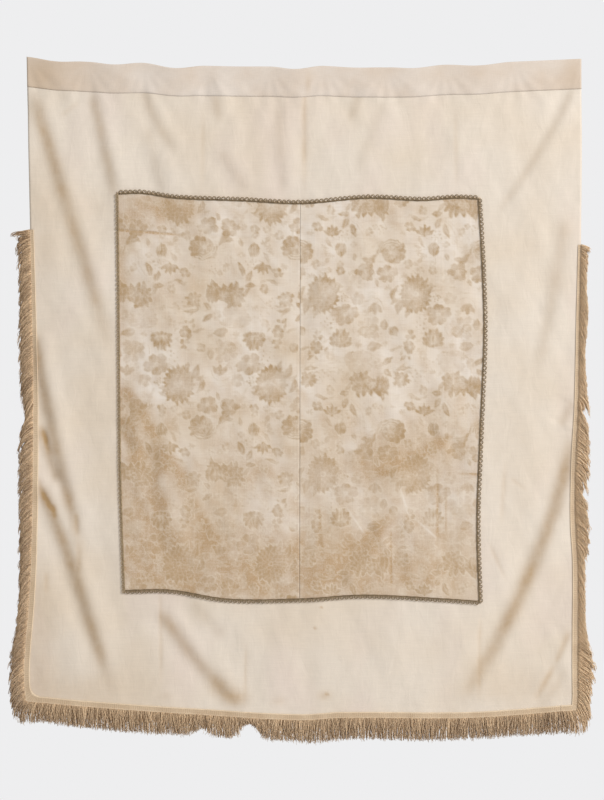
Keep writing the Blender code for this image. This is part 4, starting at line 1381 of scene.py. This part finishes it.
PHOTO_HEIGHT = 800
PIXEL = 0.00297
PHOTO_CENTRE = (-0.006, -0.986)
CAMERA_DISTANCE = 6.0
FACE_PLANE = 0.018
SENSOR = 36.0
FLOOR_DROP = 0.34
FLOOR_CORNERS = ((-4.0, -5.5), (4.0, -5.5), (4.0, 0.8), (-4.0, 0.8))
FLOOR_COLOUR = (226, 226, 226)
BACKGROUND = (238, 238, 239)
FILL_STRENGTH = 0.45
KEY_PLACE = (8.6, -7.4, 4.9)
KEY_AIM = (0.0, 0.0, -1.0)
KEY_SIZE = 3.8
KEY_POWER = 1200.0


def placed(name, data, place, turn):
    thing = bpy.data.objects.new(name, data)
    thing.location = place
    thing.rotation_euler = turn
    bpy.context.scene.collection.objects.link(thing)
    return thing


def add_camera():
    data = bpy.data.cameras.new("camera")
    data.sensor_width = SENSOR
    data.lens = SENSOR * (CAMERA_DISTANCE - FACE_PLANE) / (PHOTO_HEIGHT * PIXEL)
    place = (PHOTO_CENTRE[0], -CAMERA_DISTANCE, PHOTO_CENTRE[1])
    bpy.context.scene.camera = placed("camera", data, place, (math.pi / 2, 0.0, 0.0))


def add_floor():
    low = CAD_BOX[0][2] - FLOOR_DROP
    places = [(x, y, low) for x, y in FLOOR_CORNERS]
    material, tree = new_material("pale_floor")
    colour = shaded(FLOOR_COLOUR, swing(noise(tree, (3, 3, 3), 3), 0.98, 1.02))
    feed(tree.nodes["Principled BSDF"], {"Base Color": colour, "Roughness": 0.9})
    add_mesh("floor", places, [(0, 1, 2, 3)], material, smooth=False)


def add_light():
    data = bpy.data.lights.new("key", "AREA")
    data.shape = "DISK"
    data.size = KEY_SIZE
    data.energy = KEY_POWER
    x, y, z = np.array(KEY_AIM) - np.array(KEY_PLACE)
    turn = (math.atan2(math.hypot(x, y), -z), 0.0, math.atan2(y, x) - math.pi / 2)
    placed("key", data, KEY_PLACE, turn)


def add_world():
    """Pale surroundings: what lights the cloth is dimmer than what shows behind it."""
    world = bpy.data.worlds.new("studio")
    world.use_nodes = True
    tree = world.node_tree
    tree.nodes.clear()
    seen = add_node(tree, "LightPath", {})["Is Camera Ray"]
    fill = add_node(tree, "Background", {"Color": (1.0, 1.0, 1.0, 1.0), "Strength": FILL_STRENGTH})
    shown = add_node(tree, "Background", {"Color": linear(BACKGROUND), "Strength": 1.0})
    both = add_node(tree, "MixShader", {0: seen, 1: fill[0], 2: shown[0]})
    add_node(tree, "OutputWorld", {"Surface": both[0]})
    bpy.context.scene.world = world
    bpy.context.scene.view_settings.view_transform = "Standard"


# The whole curtain

draw_design()
DAMASK_MATERIAL = damask_material()
LACE_MATERIAL = lace_material()
BRAID_MATERIAL = braid_material()
FRINGE_MATERIAL = fringe_material()

ground = add_ground()
heading = add_heading()
damask_left = add_damask("damask_left_cloth", panel_left, lambda z: panel_seam(z) - SEAM_GAP / 2, True)
damask_right = add_damask("damask_right_cloth", lambda z: panel_seam(z) + SEAM_GAP / 2, panel_right, False)
lace = {
    name: lace_side(name + "_cords", *row) for name, *row in (
        ("lace_left", panel_left, True, -0.372, -1.56, -1, 0, 0.7, 0.35),
        ("lace_right", panel_right, True, -0.387, -1.588, 1, 1),
        ("lace_top", panel_top, False, -0.55, 0.516, 1, 2),
        ("lace_bottom", panel_bottom, False, -0.53, 0.52, -1, 3),
    )
}
# Each side's first number makes its threads lighter: painted light on the right, and painted shade on the
# left, where it is negative
FRINGE_PARTS = {
    "fringe_left": (-0.14, side_strip(-1, FRINGE_TOP_LEFT), corner_strip(-1, 0, CORNER_SPLIT)),
    "fringe_right": (0.34, side_strip(1, FRINGE_TOP_RIGHT), corner_strip(1, 0, CORNER_SPLIT)),
    "fringe_bottom": (
        0.0, corner_strip(-1, CORNER_SPLIT, 90), foot_strip(), corner_strip(1, 90, CORNER_SPLIT),
    ),
}
fringe = {
    name: add_fringe(name + "_threads", joined(strips), seed, lighter_by)
    for seed, (name, (lighter_by, *strips)) in enumerate(FRINGE_PARTS.items())
}

SLOTTED = (
    ("ground_silk", {"ground": ground}),
    ("heading_linen", {"heading": heading}),
    ("damask", {"damask_left": damask_left, "damask_right": damask_right}),
    ("metal_lace", lace),
    ("fringe_silk", fringe),
)
for slot, pieces in SLOTTED:
    for node, piece in pieces.items():
        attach(piece, "root")
        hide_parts(node)

add_camera()
add_floor()
add_light()
add_world()
